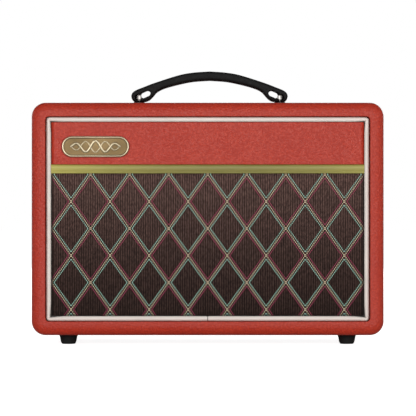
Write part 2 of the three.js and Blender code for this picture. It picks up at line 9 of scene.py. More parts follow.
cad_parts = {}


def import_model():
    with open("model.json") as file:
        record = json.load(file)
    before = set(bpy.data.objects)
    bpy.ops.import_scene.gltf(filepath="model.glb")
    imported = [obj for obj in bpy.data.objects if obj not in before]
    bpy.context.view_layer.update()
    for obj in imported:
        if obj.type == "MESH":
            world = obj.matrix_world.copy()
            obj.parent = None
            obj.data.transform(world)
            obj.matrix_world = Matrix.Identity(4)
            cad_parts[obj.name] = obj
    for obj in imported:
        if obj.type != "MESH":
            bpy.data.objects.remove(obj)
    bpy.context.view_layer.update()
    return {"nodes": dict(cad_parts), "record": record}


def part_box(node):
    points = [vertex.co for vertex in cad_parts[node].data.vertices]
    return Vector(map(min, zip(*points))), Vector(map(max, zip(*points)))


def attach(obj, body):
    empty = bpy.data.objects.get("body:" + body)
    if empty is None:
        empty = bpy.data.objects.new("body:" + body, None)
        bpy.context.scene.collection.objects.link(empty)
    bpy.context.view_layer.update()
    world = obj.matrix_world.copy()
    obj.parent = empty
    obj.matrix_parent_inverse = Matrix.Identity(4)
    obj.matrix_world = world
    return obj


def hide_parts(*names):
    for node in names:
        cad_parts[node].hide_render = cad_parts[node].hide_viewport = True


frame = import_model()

# A small combo guitar amplifier. Lengths are in millimetres and become metres in build().
MM = 0.001


def span(node):
    """Lowest and highest corners of a CAD node, in millimetres."""
    low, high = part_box(node)
    return Vector(low) / MM, Vector(high) / MM


def middle(node):
    low, high = span(node)
    return (low + high) / 2


def link(name, data):
    """A new object in the scene."""
    made = bpy.data.objects.new(name, data)
    bpy.context.scene.collection.objects.link(made)
    return made


# ---------- Sizes taken from the frame ----------

SHELL_LOW, SHELL_HIGH = span("cabinet_shell")
FRONT, REAR = SHELL_LOW.y, SHELL_HIGH.y
TOP = SHELL_HIGH.z
HALF_WIDTH = SHELL_HIGH.x
HALF_HEIGHT = (SHELL_HIGH.z - SHELL_LOW.z) / 2
MIDDLE_Z = (SHELL_HIGH.z + SHELL_LOW.z) / 2
BOARD = 15.0  # thickness of the walls
CORNER = 15.0
INNER_CORNER = 4.5  # the padded corner of the front opening
EDGE_DEPTH, EDGE_INSET = 9.0, 12.0  # the padded round-over of the front and rear edges
INNER_EDGE = 0.7
WELL_X, WELL_FRONT, WELL_REAR = 165.0, 14.0, 68.0
WELL_CORNER, WELL_LIP = 4.0, 2.2  # radii of its upright corners and of its upper rim
STRAIGHT_FROM = 24.0  # depth at which the walls inside are plain
COVER_REACH = 20.0  # how far the covering wraps into the box, front and rear
PANEL_Z = span("chassis")[1].z
KNOB_NAMES = ("gain", "treble", "bass", "volume")
SIDES = (("left", -1), ("right", 1))
FOUR_ENDS = [f"{end}_{side}" for end in ("front", "rear") for side, _ in SIDES]


# ---------- Camera ----------

CAMERA_DISTANCE = 2600.0
CAMERA_HEIGHT = 150.0
FRAME_WIDTH = 447.7  # width of the front plane that the picture takes in
SENSOR = 36.0
SHIFT = (0.0008, -0.0048)


def make_camera():
    data = bpy.data.cameras.new("camera")
    data.sensor_width = SENSOR
    data.lens = SENSOR * CAMERA_DISTANCE / FRAME_WIDTH
    data.shift_x, data.shift_y = SHIFT
    camera = link("camera", data)
    camera.location = (0, (FRONT - CAMERA_DISTANCE) * MM, CAMERA_HEIGHT * MM)
    camera.rotation_euler = (math.pi / 2, 0, 0)
    bpy.context.scene.camera = camera


make_camera()


# ---------- Shapes: each function gives (points, faces) in millimetres ----------

def loft(rings, loop=False, caps=True):
    """Skin over rings of equal length. loop joins the last ring to the first."""
    count = len(rings[0])
    points = [point for ring in rings for point in ring]
    faces = []
    for i in range(len(rings) if loop else len(rings) - 1):
        a = i * count
        b = (i + 1) % len(rings) * count
        for k in range(count):
            after = (k + 1) % count
            faces.append((a + k, a + after, b + after, b + k))
    if caps and not loop:
        faces.append(tuple(range(count)))
        faces.append(tuple(range(len(points) - count, len(points))))
    return points, faces


def merge(*shapes):
    points, faces = [], []
    for some, their in shapes:
        offset = len(points)
        points += list(some)
        faces += [tuple(i + offset for i in face) for face in their]
    return points, faces


def moved(shape, x=0.0, y=0.0, z=0.0):
    return [Vector(p) + Vector((x, y, z)) for p in shape[0]], shape[1]


def rotated(shape, degrees, axis, centre=(0, 0, 0)):
    turn = Matrix.Rotation(math.radians(degrees), 3, axis)
    centre = Vector(centre)
    return [turn @ (Vector(p) - centre) + centre for p in shape[0]], shape[1]


def fillet(points, closed=False, steps=4):
    """A polyline with rounded corners: a point is (a, b) or (a, b, radius)."""
    result = []
    count = len(points)
    for i, point in enumerate(points):
        here = Vector(point[:2])
        radius = point[2] if len(point) > 2 else 0
        if not radius or (not closed and i in (0, count - 1)):
            result.append((here.x, here.y))
            continue
        before = Vector(points[i - 1][:2]) - here
        after = Vector(points[(i + 1) % count][:2]) - here
        half = before.angle(after) / 2
        reach = min(radius / math.tan(half), before.length * 0.49, after.length * 0.49)
        start = here + before.normalized() * reach
        end = here + after.normalized() * reach
        for k in range(steps + 1):
            t = k / steps
            at = start * (1 - t) ** 2 + here * 2 * t * (1 - t) + end * t ** 2
            result.append((at.x, at.y))
    return result


def turned(profile, at=(0, 0, 0), axis="Z", segments=64, loop=False):
    """A profile of (radius, height[, corner radius]) spun about Z or Y through a point."""
    line = fillet(profile, closed=loop)
    rings = []
    for radius, height in line:
        ring = []
        for k in range(segments):
            turn = 2 * math.pi * k / segments
            a, b = radius * math.cos(turn), radius * math.sin(turn)
            local = (a, b, height) if axis == "Z" else (a, height, b)
            ring.append(Vector(local) + Vector(at))
        rings.append(ring)
    return loft(rings, loop=loop, caps=False)


def box(low, high):
    x0, y0, z0 = low
    x1, y1, z1 = high
    below = [(x0, y0, z0), (x1, y0, z0), (x1, y1, z0), (x0, y1, z0)]
    above = [(x, y, z1) for x, y, _ in below]
    return loft([below, above])


def prism(outline, low, high, axis):
    """An outline of (a, b) pairs along X (a, b = Y, Z), Y (X, Z) or Z (X, Y)."""
    place = {
        "X": lambda a, b, along: (along, a, b),
        "Y": lambda a, b, along: (a, along, b),
        "Z": lambda a, b, along: (a, b, along),
    }[axis]
    return loft([[place(a, b, along) for a, b in outline] for along in (low, high)])


def rounded_rectangle(half_x, half_z, radius, steps=6, x=0.0, z=0.0):
    """Outline of (x, z) pairs, anticlockwise from the right side's top."""
    points = []
    for corner, (sx, sz) in enumerate(((1, 1), (-1, 1), (-1, -1), (1, -1))):
        for k in range(steps + 1):
            turn = math.pi / 2 * (corner + k / steps)
            points.append((
                x + sx * (half_x - radius) + radius * math.cos(turn),
                z + sz * (half_z - radius) + radius * math.sin(turn),
            ))
    return points


ROLL_STEPS = 8


def pillow(half_x, half_z, roll_x, roll_z, back, front, depth, z):
    """A panel whose front edges roll back: roll_x and roll_z wide, depth deep."""
    levels = [(0, 0, back), (0, 0, front + depth)]
    for k in range(1, ROLL_STEPS + 1):
        inset = k / ROLL_STEPS
        levels.append((roll_x * inset, roll_z * inset, front + depth * (1 - inset) ** 1.4))
    # two flat borders keep the shading of the rolled edges off the face
    levels += [(roll_x + border, roll_z + border, front) for border in (0.3, 1.2)]
    rings = []
    for in_x, in_z, height in levels:
        outline = rounded_rectangle(half_x - in_x, half_z - in_z, 0.4, 2, 0.0, z)
        rings.append([(a, height, b) for a, b in outline])
    return loft(rings)


def sweep(route, section):
    """A closed section of (a, b) pairs carried along a list of points without twisting."""
    route = [Vector(p) for p in route]
    rings = []
    tangent = (route[1] - route[0]).normalized()
    side = tangent.cross(Vector((0, 0, 1)))
    if side.length < 0.1:
        side = tangent.cross(Vector((1, 0, 0)))
    side.normalize()
    for i, point in enumerate(route):
        ahead = route[min(i + 1, len(route) - 1)] - route[max(i - 1, 0)]
        fresh = ahead.normalized()
        side = (tangent.rotation_difference(fresh) @ side).normalized()
        tangent = fresh
        up = side.cross(tangent)
        rings.append([point + side * a + up * b for a, b in section])
    return loft(rings)


def smooth_route(points, per_span=8):
    """A Catmull-Rom curve through the points."""
    knots = [Vector(p) for p in points]
    knots = [2 * knots[0] - knots[1]] + knots + [2 * knots[-1] - knots[-2]]
    route = []
    for i in range(1, len(knots) - 2):
        a, b, c, d = knots[i - 1:i + 3]
        for k in range(per_span):
            t = k / per_span
            route.append(0.5 * (2 * b + (c - a) * t + (2 * a - 5 * b + 4 * c - d) * t ** 2
                                + (3 * b - a - 3 * c + d) * t ** 3))
    return route + [knots[-2]]


def circle(radius, count=16):
    return [(radius * math.cos(2 * math.pi * k / count), radius * math.sin(2 * math.pi * k / count))
            for k in range(count)]


def hexagon(across, low, high):
    radius = across / math.sqrt(3)
    outline = [(radius * math.cos(math.pi / 3 * k), radius * math.sin(math.pi / 3 * k)) for k in range(6)]
    return prism(outline, low, high, "Z")


# ---------- Pieces ----------

RECORD = frame["record"]
SLOT_OF = {part["node"]: part["material_slot"] for part in RECORD["subparts"]}
BODY_OF = {node: body for body, nodes in RECORD["behaviour"]["bodies"].items() for node in nodes}
WELD, DEGENERATE = 1e-6, 1e-7  # in metres
SHARP_FROM = 30  # degrees between two faces, for an edge that build() bevels


def open_mesh(name, shape):
    """A new mesh, in metres, and the bmesh that works on it."""
    mesh = bpy.data.meshes.new(name)
    mesh.from_pydata([Vector(p) * MM for p in shape[0]], [], shape[1])
    work = bmesh.new()
    work.from_mesh(mesh)
    bmesh.ops.remove_doubles(work, verts=work.verts, dist=WELD)
    return mesh, work


def close_mesh(mesh, work):
    work.to_mesh(mesh)
    work.free()
    return mesh


def face_outward(work):
    bmesh.ops.recalc_face_normals(work, faces=work.faces)


def round_edges(work, edges, size, steps, clamp=False):
    bmesh.ops.bevel(work, geom=edges, offset=size * MM, segments=steps, profile=0.5, affect="EDGES",
                    clamp_overlap=clamp)


def build(name, shape, look, node=None, bevel=0.0, bevel_steps=3, **options):
    """Makes a piece from a shape and bevels its sharp edges. The other options are those of dress()."""
    mesh, work = open_mesh(name, shape)
    bmesh.ops.dissolve_degenerate(work, edges=work.edges, dist=DEGENERATE)
    face_outward(work)
    if bevel:
        edges = [e for e in work.edges if len(e.link_faces) == 2 and e.calc_face_angle(0) > math.radians(SHARP_FROM)]
        round_edges(work, edges, bevel, bevel_steps, True)
    return dress(name, close_mesh(mesh, work), look, node, **options)


def dress(name, mesh, look, node=None, finish=None, body=None, sharp=35):
    """Makes a piece of a mesh. The CAD node it stands for, if any, gives its body; its finish is looked up but not
    applied.
    """
    mesh.materials.append(look)
    mesh.polygons.foreach_set("use_smooth", [True] * len(mesh.polygons))
    mesh.set_sharp_from_angle(angle=math.radians(sharp))
    piece = link(name, mesh)
    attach(piece, body or BODY_OF.get(node, "cabinet"))
    if node:
        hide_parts(node)
    finish = finish or SLOT_OF.get(node)
    return piece


def soften(piece, size, degrees):
    """A bevel of two segments on the edges that are sharper than an angle."""
    soft = piece.modifiers.new("soft_edges", "BEVEL")
    soft.width = size * MM
    soft.segments = 2
    soft.limit_method = "ANGLE"
    soft.angle_limit = math.radians(degrees)


def thicken(piece, size, offset):
    thick = piece.modifiers.new("thickness", "SOLIDIFY")
    thick.thickness = size * MM
    thick.offset = offset


def recoat(node, look, bevel=0.0):
    """Gives a CAD node a better material and softens its edges."""
    piece = frame["nodes"][node]
    piece.data.materials.clear()
    piece.data.materials.append(look)
    if bevel:
        soften(piece, bevel, 40)


# ---------- Materials ----------

class Look:
    """A procedural material under construction. Textures use the object's own space, in metres."""

    def __init__(self, name, colour, roughness=0.5, metallic=0.0, **constants):
        self.material = bpy.data.materials.new(name)
        self.material.use_nodes = True
        self.tree = self.material.node_tree
        self.shader = self.tree.nodes["Principled BSDF"]
        self.shader.inputs["Base Color"].default_value = (*colour, 1)
        self.shader.inputs["Roughness"].default_value = roughness
        self.shader.inputs["Metallic"].default_value = metallic
        for key, value in constants.items():
            self.shader.inputs[key.replace("_", " ")].default_value = value
        self.space = self.tree.nodes.new("ShaderNodeTexCoord").outputs["Object"]

    def node(self, kind, inputs=None, **settings):
        made = self.tree.nodes.new(kind)
        for key, value in settings.items():
            setattr(made, key, value)
        for key, value in (inputs or {}).items():
            self.feed(made.inputs[key], value)
        return made

    def feed(self, socket, value):
        if isinstance(value, bpy.types.NodeSocket):
            self.tree.links.new(value, socket)
        else:
            socket.default_value = value

    def math(self, operation, a, b=0.0, c=0.0):
        return self.node("ShaderNodeMath", {0: a, 1: b, 2: c}, operation=operation).outputs[0]

    def times(self, a, b):
        return self.math("MULTIPLY", a, b)

    def plus(self, a, b):
        return self.math("ADD", a, b)

    def less(self, a, b):
        return self.math("SUBTRACT", a, b)

    def along(self, axis):
        return self.node("ShaderNodeSeparateXYZ", {0: self.space}).outputs[axis]

    def stretch(self, x=1.0, y=1.0, z=1.0):
        return self.node("ShaderNodeMapping", {"Vector": self.space, "Scale": (x, y, z)}).outputs[0]

    def noise(self, scale, detail=3.0, rough=0.5, space=None):
        inputs = {"Vector": space or self.space, "Scale": scale, "Detail": detail, "Roughness": rough}
        return self.node("ShaderNodeTexNoise", inputs).outputs[0]

    def cells(self, scale):
        inputs = {"Vector": self.space, "Scale": scale}
        return self.node("ShaderNodeTexVoronoi", inputs, feature="SMOOTH_F1").outputs["Distance"]

    def between(self, value, low, high, to_low=0.0, to_high=1.0):
        inputs = {0: value, 1: low, 2: high, 3: to_low, 4: to_high}
        return self.node("ShaderNodeMapRange", inputs, clamp=True).outputs[0]

    def mix(self, factor, a, b, blend="MIX"):
        mixer = self.node("ShaderNodeMix", data_type="RGBA", blend_type=blend)
        self.feed(mixer.inputs[0], factor)
        for socket, value in ((mixer.inputs[6], a), (mixer.inputs[7], b)):
            self.feed(socket, value if isinstance(value, bpy.types.NodeSocket) else (*value, 1))
        return mixer.outputs[2]

    def colour(self, value):
        self.feed(self.shader.inputs["Base Color"], value)

    def roughness(self, value):
        self.feed(self.shader.inputs["Roughness"], value)

    def bump(self, height, distance, strength=1.0):
        """Relief of that many millimetres."""
        inputs = {"Height": height, "Distance": distance * MM, "Strength": strength}
        normal = self.node("ShaderNodeBump", inputs).outputs[0]
        self.feed(self.shader.inputs["Normal"], normal)


def vinyl(name, base, light, dark, roughness):
    """Grained covering: small rounded pebbles over a softer unevenness."""
    look = Look(name, base, roughness, Specular_IOR_Level=0.38)
    pebbles = look.cells(640)
    fine = look.noise(2600, 2)
    broad = look.noise(470, 3, 0.6)
    grain = look.plus(look.times(pebbles, 0.7), look.times(fine, 0.3))
    blotch = look.between(look.noise(18, 4), 0.35, 0.65)
    tone = look.mix(blotch, base, light)
    tone = look.mix(look.between(broad, 0.42, 0.58, 0.0, 0.65), tone, dark)
    tone = look.mix(look.between(pebbles, 0.25, 0.6, 0.0, 0.5), tone, dark)
    look.colour(tone)
    look.roughness(look.between(broad, 0.42, 0.58, roughness - 0.08, roughness + 0.08))
    look.bump(look.plus(grain, look.times(broad, 1.8)), 0.5, 0.9)
    return look.material


def moulded(name, base, roughness, grain=900.0, relief=0.02, coat=0.0, shine=0.5):
    """Moulded plastic or rubber with a faint spark-eroded grain and handling marks."""
    look = Look(name, base, roughness, Coat_Weight=coat, Specular_IOR_Level=shine)
    fine = look.noise(grain * 2, 3)
    wear = look.between(look.noise(45, 5, 0.6), 0.4, 0.7)
    worn = tuple(c * 1.6 + 0.004 if c < 0.2 else c * 0.86 for c in base)
    look.colour(look.mix(look.times(wear, 0.5), base, worn))
    look.roughness(look.between(wear, 0, 1, roughness, roughness + 0.12))
    look.bump(fine, relief * 2, 0.6)
    return look.material


def metal(name, base, roughness, brushed=(1.0, 1.0, 12.0), relief=0.01, tint=None, metallic=1.0):
    """Metal with fine drawn lines and uneven polish."""
    look = Look(name, base, roughness, metallic)
    lines = look.noise(900, 3, 0.6, look.stretch(*brushed))
    cloud = look.noise(35, 4)
    look.colour(look.mix(look.between(cloud, 0.35, 0.7), base, tint or tuple(c * 0.82 for c in base)))
    look.roughness(look.between(look.plus(lines, cloud), 0.6, 1.4, roughness * 0.75, roughness * 1.3))
    look.bump(lines, relief, 0.5)
    return look.material


def painted_steel(name, base, roughness):
    """Powder coat with its orange peel."""
    look = Look(name, base, roughness)
    peel = look.cells(1400)
    speck = look.between(look.noise(3000, 1), 0.62, 0.7)
    look.colour(look.mix(look.times(speck, 0.3), base, tuple(c * 2.2 + 0.02 for c in base)))
    look.roughness(look.between(look.noise(60, 3), 0.35, 0.65, roughness - 0.06, roughness + 0.1))
    look.bump(peel, 0.03, 0.6)
    return look.material


def timber(name, pale, brown, along="X"):
    """Sawn board with grain along one axis."""
    look = Look(name, pale, 0.7)
    scales = {"X": (0.08, 1, 1), "Y": (1, 0.08, 1), "Z": (1, 1, 0.08)}[along]
    space = look.stretch(*scales)
    rings = look.noise(260, 5, 0.65, space)
    pores = look.noise(1500, 2, 0.5, space)
    tone = look.mix(look.between(rings, 0.35, 0.68), pale, brown)
    tone = look.mix(look.between(pores, 0.55, 0.75, 0, 0.5), tone, tuple(c * 0.6 for c in brown))
    look.colour(tone)
    look.roughness(look.between(rings, 0.3, 0.7, 0.6, 0.8))
    look.bump(look.plus(rings, pores), 0.06, 0.6)
    return look.material


# The cloth's lattice: two families of lines that cross every PITCH_X and PITCH_Z.
PITCH_X, PITCH_Z = 42.16, 58.36
CROSSING = (21.1, 154.9)
LINE_GAP = PITCH_X * PITCH_Z / math.hypot(PITCH_X, PITCH_Z)
RIB = PITCH_X / 17
PICK = 1.1  # pitch of the threads that run across
THREAD_AT = 2.2  # how far the coloured threads run from the lattice lines
PAINTED_LIGHT_LOW, PAINTED_LIGHT_HIGH = 31, 186  # heights between which the cloth's ground is painted paler, a painted stand-in for light from above
# the ground's colours at the bottom and at the top: painted darker below and paler above for the light from above
WEAVE_GROUND_PAINTED_DIM, WEAVE_GROUND_PAINTED_LIT = (0.0225, 0.0122, 0.0098), (0.083, 0.047, 0.0395)
WEAVE_CREAM, WEAVE_TEAL, WEAVE_ROSE = (0.70, 0.57, 0.39), (0.34, 0.58, 0.47), (0.33, 0.060, 0.105)
# the colour of the painted shade in the furrows between the threads
WEAVE_FURROW_SHADE = (0.008, 0.005, 0.004)


def grille_weave():
    """Ribbed brown cloth with cream lines on a diamond lattice and a coloured thread inside each diamond."""
    look = Look("grille_weave", (0.05, 0.03, 0.026), 0.85, Sheen_Weight=0.02, Specular_IOR_Level=0.12)
    x, z = look.times(look.along("X"), 1 / MM), look.times(look.along("Z"), 1 / MM)

    def snapped(value, step):
        return look.times(look.plus(look.math("FLOOR", look.math("DIVIDE", value, step)), 0.5), step)

    def wave(value, period, phase=0.0):
        turn = look.plus(look.times(value, 2 * math.pi / period), phase)
        return look.between(look.math("SINE", turn), -1, 1)

    across = look.math("DIVIDE", look.less(snapped(x, RIB / 2), CROSSING[0]), PITCH_X)
    down = look.math("DIVIDE", look.less(snapped(z, PICK / 2), CROSSING[1]), PITCH_Z)
    u = look.plus(across, down)
    v = look.less(across, down)

    def to_line(value):
        part = look.math("FRACT", value)
        return look.times(look.math("MINIMUM", part, look.less(1.0, part)), LINE_GAP)

    def band(distance, centre, half):
        away = look.math("ABSOLUTE", look.less(distance, centre))
        return look.between(away, half - 0.12, half + 0.12, 1, 0)

    reach = look.math("MINIMUM", to_line(u), to_line(v))
    odd = look.math("MODULO", look.math("ABSOLUTE", look.plus(look.math("FLOOR", u), look.math("FLOOR", v))), 2.0)
    ribs = wave(x, RIB, -math.pi / 2)
    picks = wave(z, PICK)
    crest = look.between(wave(x, RIB / 2, -math.pi / 2), 0.1, 0.6, 0.35, 1)
    slub = look.noise(700, 2, 0.6, look.stretch(1, 1, 0.5))
    # Painted light: the ground is painted paler towards the top, standing in for the light from above that the nap
    # catches.
    height = look.math("POWER", look.between(z, PAINTED_LIGHT_LOW, PAINTED_LIGHT_HIGH), 1.4)
    ground = look.mix(height, WEAVE_GROUND_PAINTED_DIM, WEAVE_GROUND_PAINTED_LIT)
    shade = look.times(look.between(ribs, 0.1, 0.9, 0.55, 1.4), look.between(picks, 0, 1, 0.75, 1.2))
    shade = look.times(shade, look.between(slub, 0.35, 0.65, 0.6, 1.4))
    ground = look.mix(1.0, ground, shade, "MULTIPLY")
    cream = look.times(band(reach, 0.0, 0.33), crest)
    teal = look.times(band(reach, THREAD_AT, 0.36), look.times(odd, crest))
    rose = look.times(band(reach, THREAD_AT, 0.42), look.times(look.less(0.9, odd), crest))
    # Painted shade: between the threads the ground lies deeper, and its shade is painted in as a darker colour.
    painted_furrow_shade = look.math("MAXIMUM", band(reach, THREAD_AT / 2, 0.25), look.times(band(reach, THREAD_AT * 1.5, 0.3), 0.5))
    ground = look.mix(look.times(painted_furrow_shade, 0.6), ground, WEAVE_FURROW_SHADE)
    tone = look.mix(teal, ground, WEAVE_TEAL)
    tone = look.mix(rose, tone, WEAVE_ROSE)
    tone = look.mix(cream, tone, WEAVE_CREAM)
    # Painted shade along the piping, where the cord shadows the edges of the cloth.
    edge = look.between(look.math("ABSOLUTE", x), 165.8, 167.4, 1.0, 0.4)
    tone = look.mix(1.0, tone, edge, "MULTIPLY")
    look.colour(tone)
    look.roughness(look.between(ribs, 0, 1, 0.95, 0.75))
    thread = look.math("MAXIMUM", cream, look.math("MAXIMUM", teal, rose))
    relief = look.plus(look.times(picks, 0.5), look.times(thread, 0.8))
    look.bump(look.plus(relief, look.times(ribs, 0.5)), 0.15, 0.6)
    return look.material


def gold_plastic():
    """Satin gold extrusion whose tone is paler towards both ends."""
    look = Look("gold_plastic", (0.25, 0.226, 0.049), 0.46, 0.12)
    lines = look.noise(900, 3, 0.6, look.stretch(0.05, 1, 1))
    along = look.along("X")
    reach = look.math("DIVIDE", look.less(along, 25 * MM), 195 * MM)
    paler = look.between(look.times(reach, reach), 0, 1, 0.80, 1.62)
    tone = look.mix(look.between(lines, 0.4, 0.6), (0.235, 0.211, 0.046), (0.262, 0.237, 0.053))
    look.colour(look.mix(1.0, tone, paler, "MULTIPLY"))
    look.roughness(look.between(lines, 0.35, 0.65, 0.4, 0.52))
    look.bump(lines, 0.008, 0.5)
    return look.material


def patterned(name, colour, roughness, pattern, span_of, tones, relief, strength, metallic=0.0, **constants):
    """A look whose tone and relief both follow one pattern, which runs over a span of values."""
    look = Look(name, colour, roughness, metallic, **constants)
    value = pattern(look)
    look.colour(look.mix(look.between(value, *span_of), *tones))
    look.bump(value, relief, strength)
    return look


def laminations():
    def sheets(look):
        return look.math("SINE", look.times(look.along("Y"), 2 * math.pi / (0.5 * MM)))

    look = patterned("laminated_core", (0.25, 0.25, 0.26), 0.45, sheets, (-1, 1),
                     ((0.10, 0.10, 0.11), (0.36, 0.36, 0.37)), 0.08, 0.6, 0.85)
    look.roughness(look.between(look.noise(80, 4), 0.3, 0.7, 0.35, 0.6))
    return look.material


def tracks(look):
    bricks = {"Vector": look.space, "Scale": 90.0, "Mortar Size": 0.06}
    return look.node("ShaderNodeTexBrick", bricks).outputs["Fac"]


RED_VINYL = vinyl("red_vinyl", (0.47, 0.0305, 0.0095), (0.51, 0.040, 0.014), (0.35, 0.018, 0.006), 0.46)
BLACK_VINYL = vinyl("black_vinyl", (0.022, 0.021, 0.021), (0.035, 0.033, 0.033), (0.010, 0.010, 0.010), 0.5)
WEAVE = grille_weave()
PIPING = moulded("piping_vinyl", (0.74, 0.67, 0.61), 0.42, 500, 0.03)
GOLD = gold_plastic()
BADGE_GOLD = metal("badge_gold", (0.42, 0.355, 0.24), 0.30, (1, 1, 8), 0.01)
BADGE_FIELD = metal("badge_field", (0.145, 0.10, 0.048), 0.42, (1, 1, 8), 0.02)
RUBBER = moulded("black_rubber", (0.0050, 0.0048, 0.0045), 0.72, 450, 0.05, shine=0.28)
PLASTIC = moulded("black_plastic", (0.012, 0.012, 0.012), 0.38, 900, 0.02, 0.1)
CHROME = metal("chrome", (0.80, 0.80, 0.81), 0.10, (1, 1, 1), 0.002, (0.72, 0.72, 0.74))
SATIN = metal("satin_nickel", (0.90, 0.85, 0.80), 0.45, (8, 8, 1), 0.02, (0.76, 0.71, 0.66), 0.4)
STEEL = metal("plated_steel", (0.56, 0.56, 0.54), 0.34, (1, 1, 6), 0.02)
ALUMINIUM = metal("aluminium", (0.62, 0.63, 0.64), 0.36, (1, 1, 0.1), 0.02)
BRASS = metal("brass_pins", (0.66, 0.55, 0.30), 0.25, (1, 10, 1), 0.01)
BLACK_STEEL = painted_steel("black_steel", (0.014, 0.014, 0.015), 0.42)
BOARD_X = timber("board_ply", (0.50, 0.36, 0.22), (0.36, 0.22, 0.12), "X")
CLEAT_WOOD = timber("cleat_pine", (0.62, 0.44, 0.25), (0.48, 0.29, 0.14), "Z")
FERRITE = moulded("ferrite", (0.030, 0.030, 0.033), 0.72, 1200, 0.06)
CONE = patterned("cone_paper", (0.018, 0.017, 0.018), 0.9, lambda look: look.noise(700, 5, 0.7), (0.4, 0.7),
                 ((0.014, 0.013, 0.014), (0.05, 0.047, 0.047)), 0.12, 0.7).material
SPIDER = moulded("spider_cloth", (0.46, 0.28, 0.09), 0.85, 1500, 0.1)
COPPER = patterned("wound_copper", (0.55, 0.22, 0.10), 0.35,
                   lambda look: look.math("SINE", look.times(look.along("Z"), 9000)), (-1, 1),
                   ((0.35, 0.12, 0.05), (0.70, 0.32, 0.15)), 0.1, 0.6, 0.9).material
CORE = laminations()
TAPE = patterned("winding_tape", (0.62, 0.48, 0.10), 0.4,
                 lambda look: look.noise(120, 3, 0.5, look.stretch(1, 1, 6)), (0.4, 0.6),
                 ((0.66, 0.50, 0.12), (0.48, 0.34, 0.07)), 0.15, 0.6).material
CIRCUIT = patterned("circuit_green", (0.03, 0.14, 0.05), 0.35, tracks, (0, 1),
                    ((0.025, 0.12, 0.045), (0.07, 0.24, 0.09)), 0.05, 0.5).material
INK = moulded("white_ink", (0.70, 0.69, 0.66), 0.5, 1500, 0.01)
LENS = patterned("lamp_lens", (0.55, 0.012, 0.010), 0.12, lambda look: look.noise(900, 2), (0.3, 0.7),
                 ((0.60, 0.015, 0.012), (0.38, 0.006, 0.006)), 0.02, 0.4,
                 Transmission_Weight=0.35, Coat_Weight=0.4).material


# ---------- Cabinet ----------

def wall_section():
    """The wall's section as (depth, distance in from the outer face), with rounded front and rear edges."""
    half = []
    for k in range(11):
        turn = math.pi / 2 * k / 10
        half.append((EDGE_DEPTH * (1 - math.sin(turn)), EDGE_INSET * (1 - math.cos(turn))))
    for k in range(6):
        turn = math.pi / 2 * k / 5
        half.append((INNER_EDGE * (1 - math.cos(turn)), BOARD - INNER_EDGE * (1 - math.sin(turn))))
    front = [(FRONT + depth, inset) for depth, inset in half]
    rear = [(REAR - depth, inset) for depth, inset in reversed(half)]
    inner_rows = [(FRONT + STRAIGHT_FROM, BOARD), (WELL_FRONT, BOARD), (WELL_REAR, BOARD)]
    return front + inner_rows + rear + [(WELL_REAR, 0.0), (WELL_FRONT, 0.0)]


def outline_at(depth, inset):
    """The cabinet's outline that far in, with columns where the control well's ends are."""
    radius = max(CORNER - inset, INNER_CORNER if depth < FRONT + COVER_REACH else 1.0)
    half_x, half_z = HALF_WIDTH - inset, HALF_HEIGHT - inset
    points = rounded_rectangle(half_x, half_z, radius, 10, 0.0, MIDDLE_Z)
    columns = [(x, MIDDLE_Z + half_z) for x in (WELL_X, 60.0, -60.0, -WELL_X)]
    return points[:11] + columns + points[11:]


def cabinet():
    """The covered box: the well is opened through its top board, and the inside is bare board."""
    rings = [[(x, depth, z) for x, z in outline_at(depth, inset)] for depth, inset in wall_section()]
    mesh, work = open_mesh("cabinet_cover", loft(rings, loop=True))

    def in_well(face):
        centre = face.calc_center_median() / MM
        return abs(centre.x) < WELL_X - 1 and WELL_FRONT < centre.y < WELL_REAR and centre.z > TOP - BOARD - 1

    bmesh.ops.delete(work, geom=[face for face in work.faces if in_well(face)], context="FACES")
    bmesh.ops.bridge_loops(work, edges=[e for e in work.edges if e.is_boundary])
    face_outward(work)

    def at_well_corner(vertex):
        x, y = abs(vertex.co.x) / MM, vertex.co.y / MM
        return abs(x - WELL_X) < 0.01 and min(abs(y - WELL_FRONT), abs(y - WELL_REAR)) < 0.01

    def on_rim(vertex):
        x, y, z = vertex.co / MM
        return abs(z - TOP) < 0.01 and abs(x) < WELL_X + 0.1 and WELL_FRONT - 0.1 < y < WELL_REAR + 0.1

    upright = [e for e in work.edges if all(at_well_corner(v) for v in e.verts)
               and abs(e.verts[0].co.z - e.verts[1].co.z) > 0.5 * BOARD * MM]
    round_edges(work, upright, WELL_CORNER, 5)
    lip = [e for e in work.edges if all(on_rim(v) for v in e.verts) and e.calc_face_angle(0) > math.radians(60)]
    round_edges(work, lip, WELL_LIP, 4)
    face_outward(work)
    dress("cabinet_cover", close_mesh(mesh, work), RED_VINYL, "cabinet_shell", sharp=50)
    mesh.materials.append(BOARD_X)
    for face in mesh.polygons:
        x, y, z = face.center / MM
        inside = abs(x) < HALF_WIDTH - BOARD + 0.1 and abs(z - MIDDLE_Z) < HALF_HEIGHT - BOARD + 0.1
        if inside and FRONT + COVER_REACH < y < REAR - COVER_REACH:
            face.material_index = 1


def foot(node):
    x, y, _ = middle(node)
    high = span(node)[1].z
    body = turned([
        (0, 3.4), (3.3, 3.4, 0.3), (3.6, 0, 0.4), (7.2, 0, 1.2), (8.4, 2.4, 2), (9.3, 7), (10.1, high - 0.6, 0.5),
        (9.6, high), (0, high),
    ], (x, y, 0), segments=72)
    build(f"{node}_rubber", body, RUBBER, node)
    screw_head(f"{node}_screw", (x, y, 3.3), "-Z", 2.9)


FACINGS = {
    "Z": Matrix.Identity(3), "-Z": Matrix.Rotation(math.pi, 3, "X"), "Y": Matrix.Rotation(-math.pi / 2, 3, "X"),
}


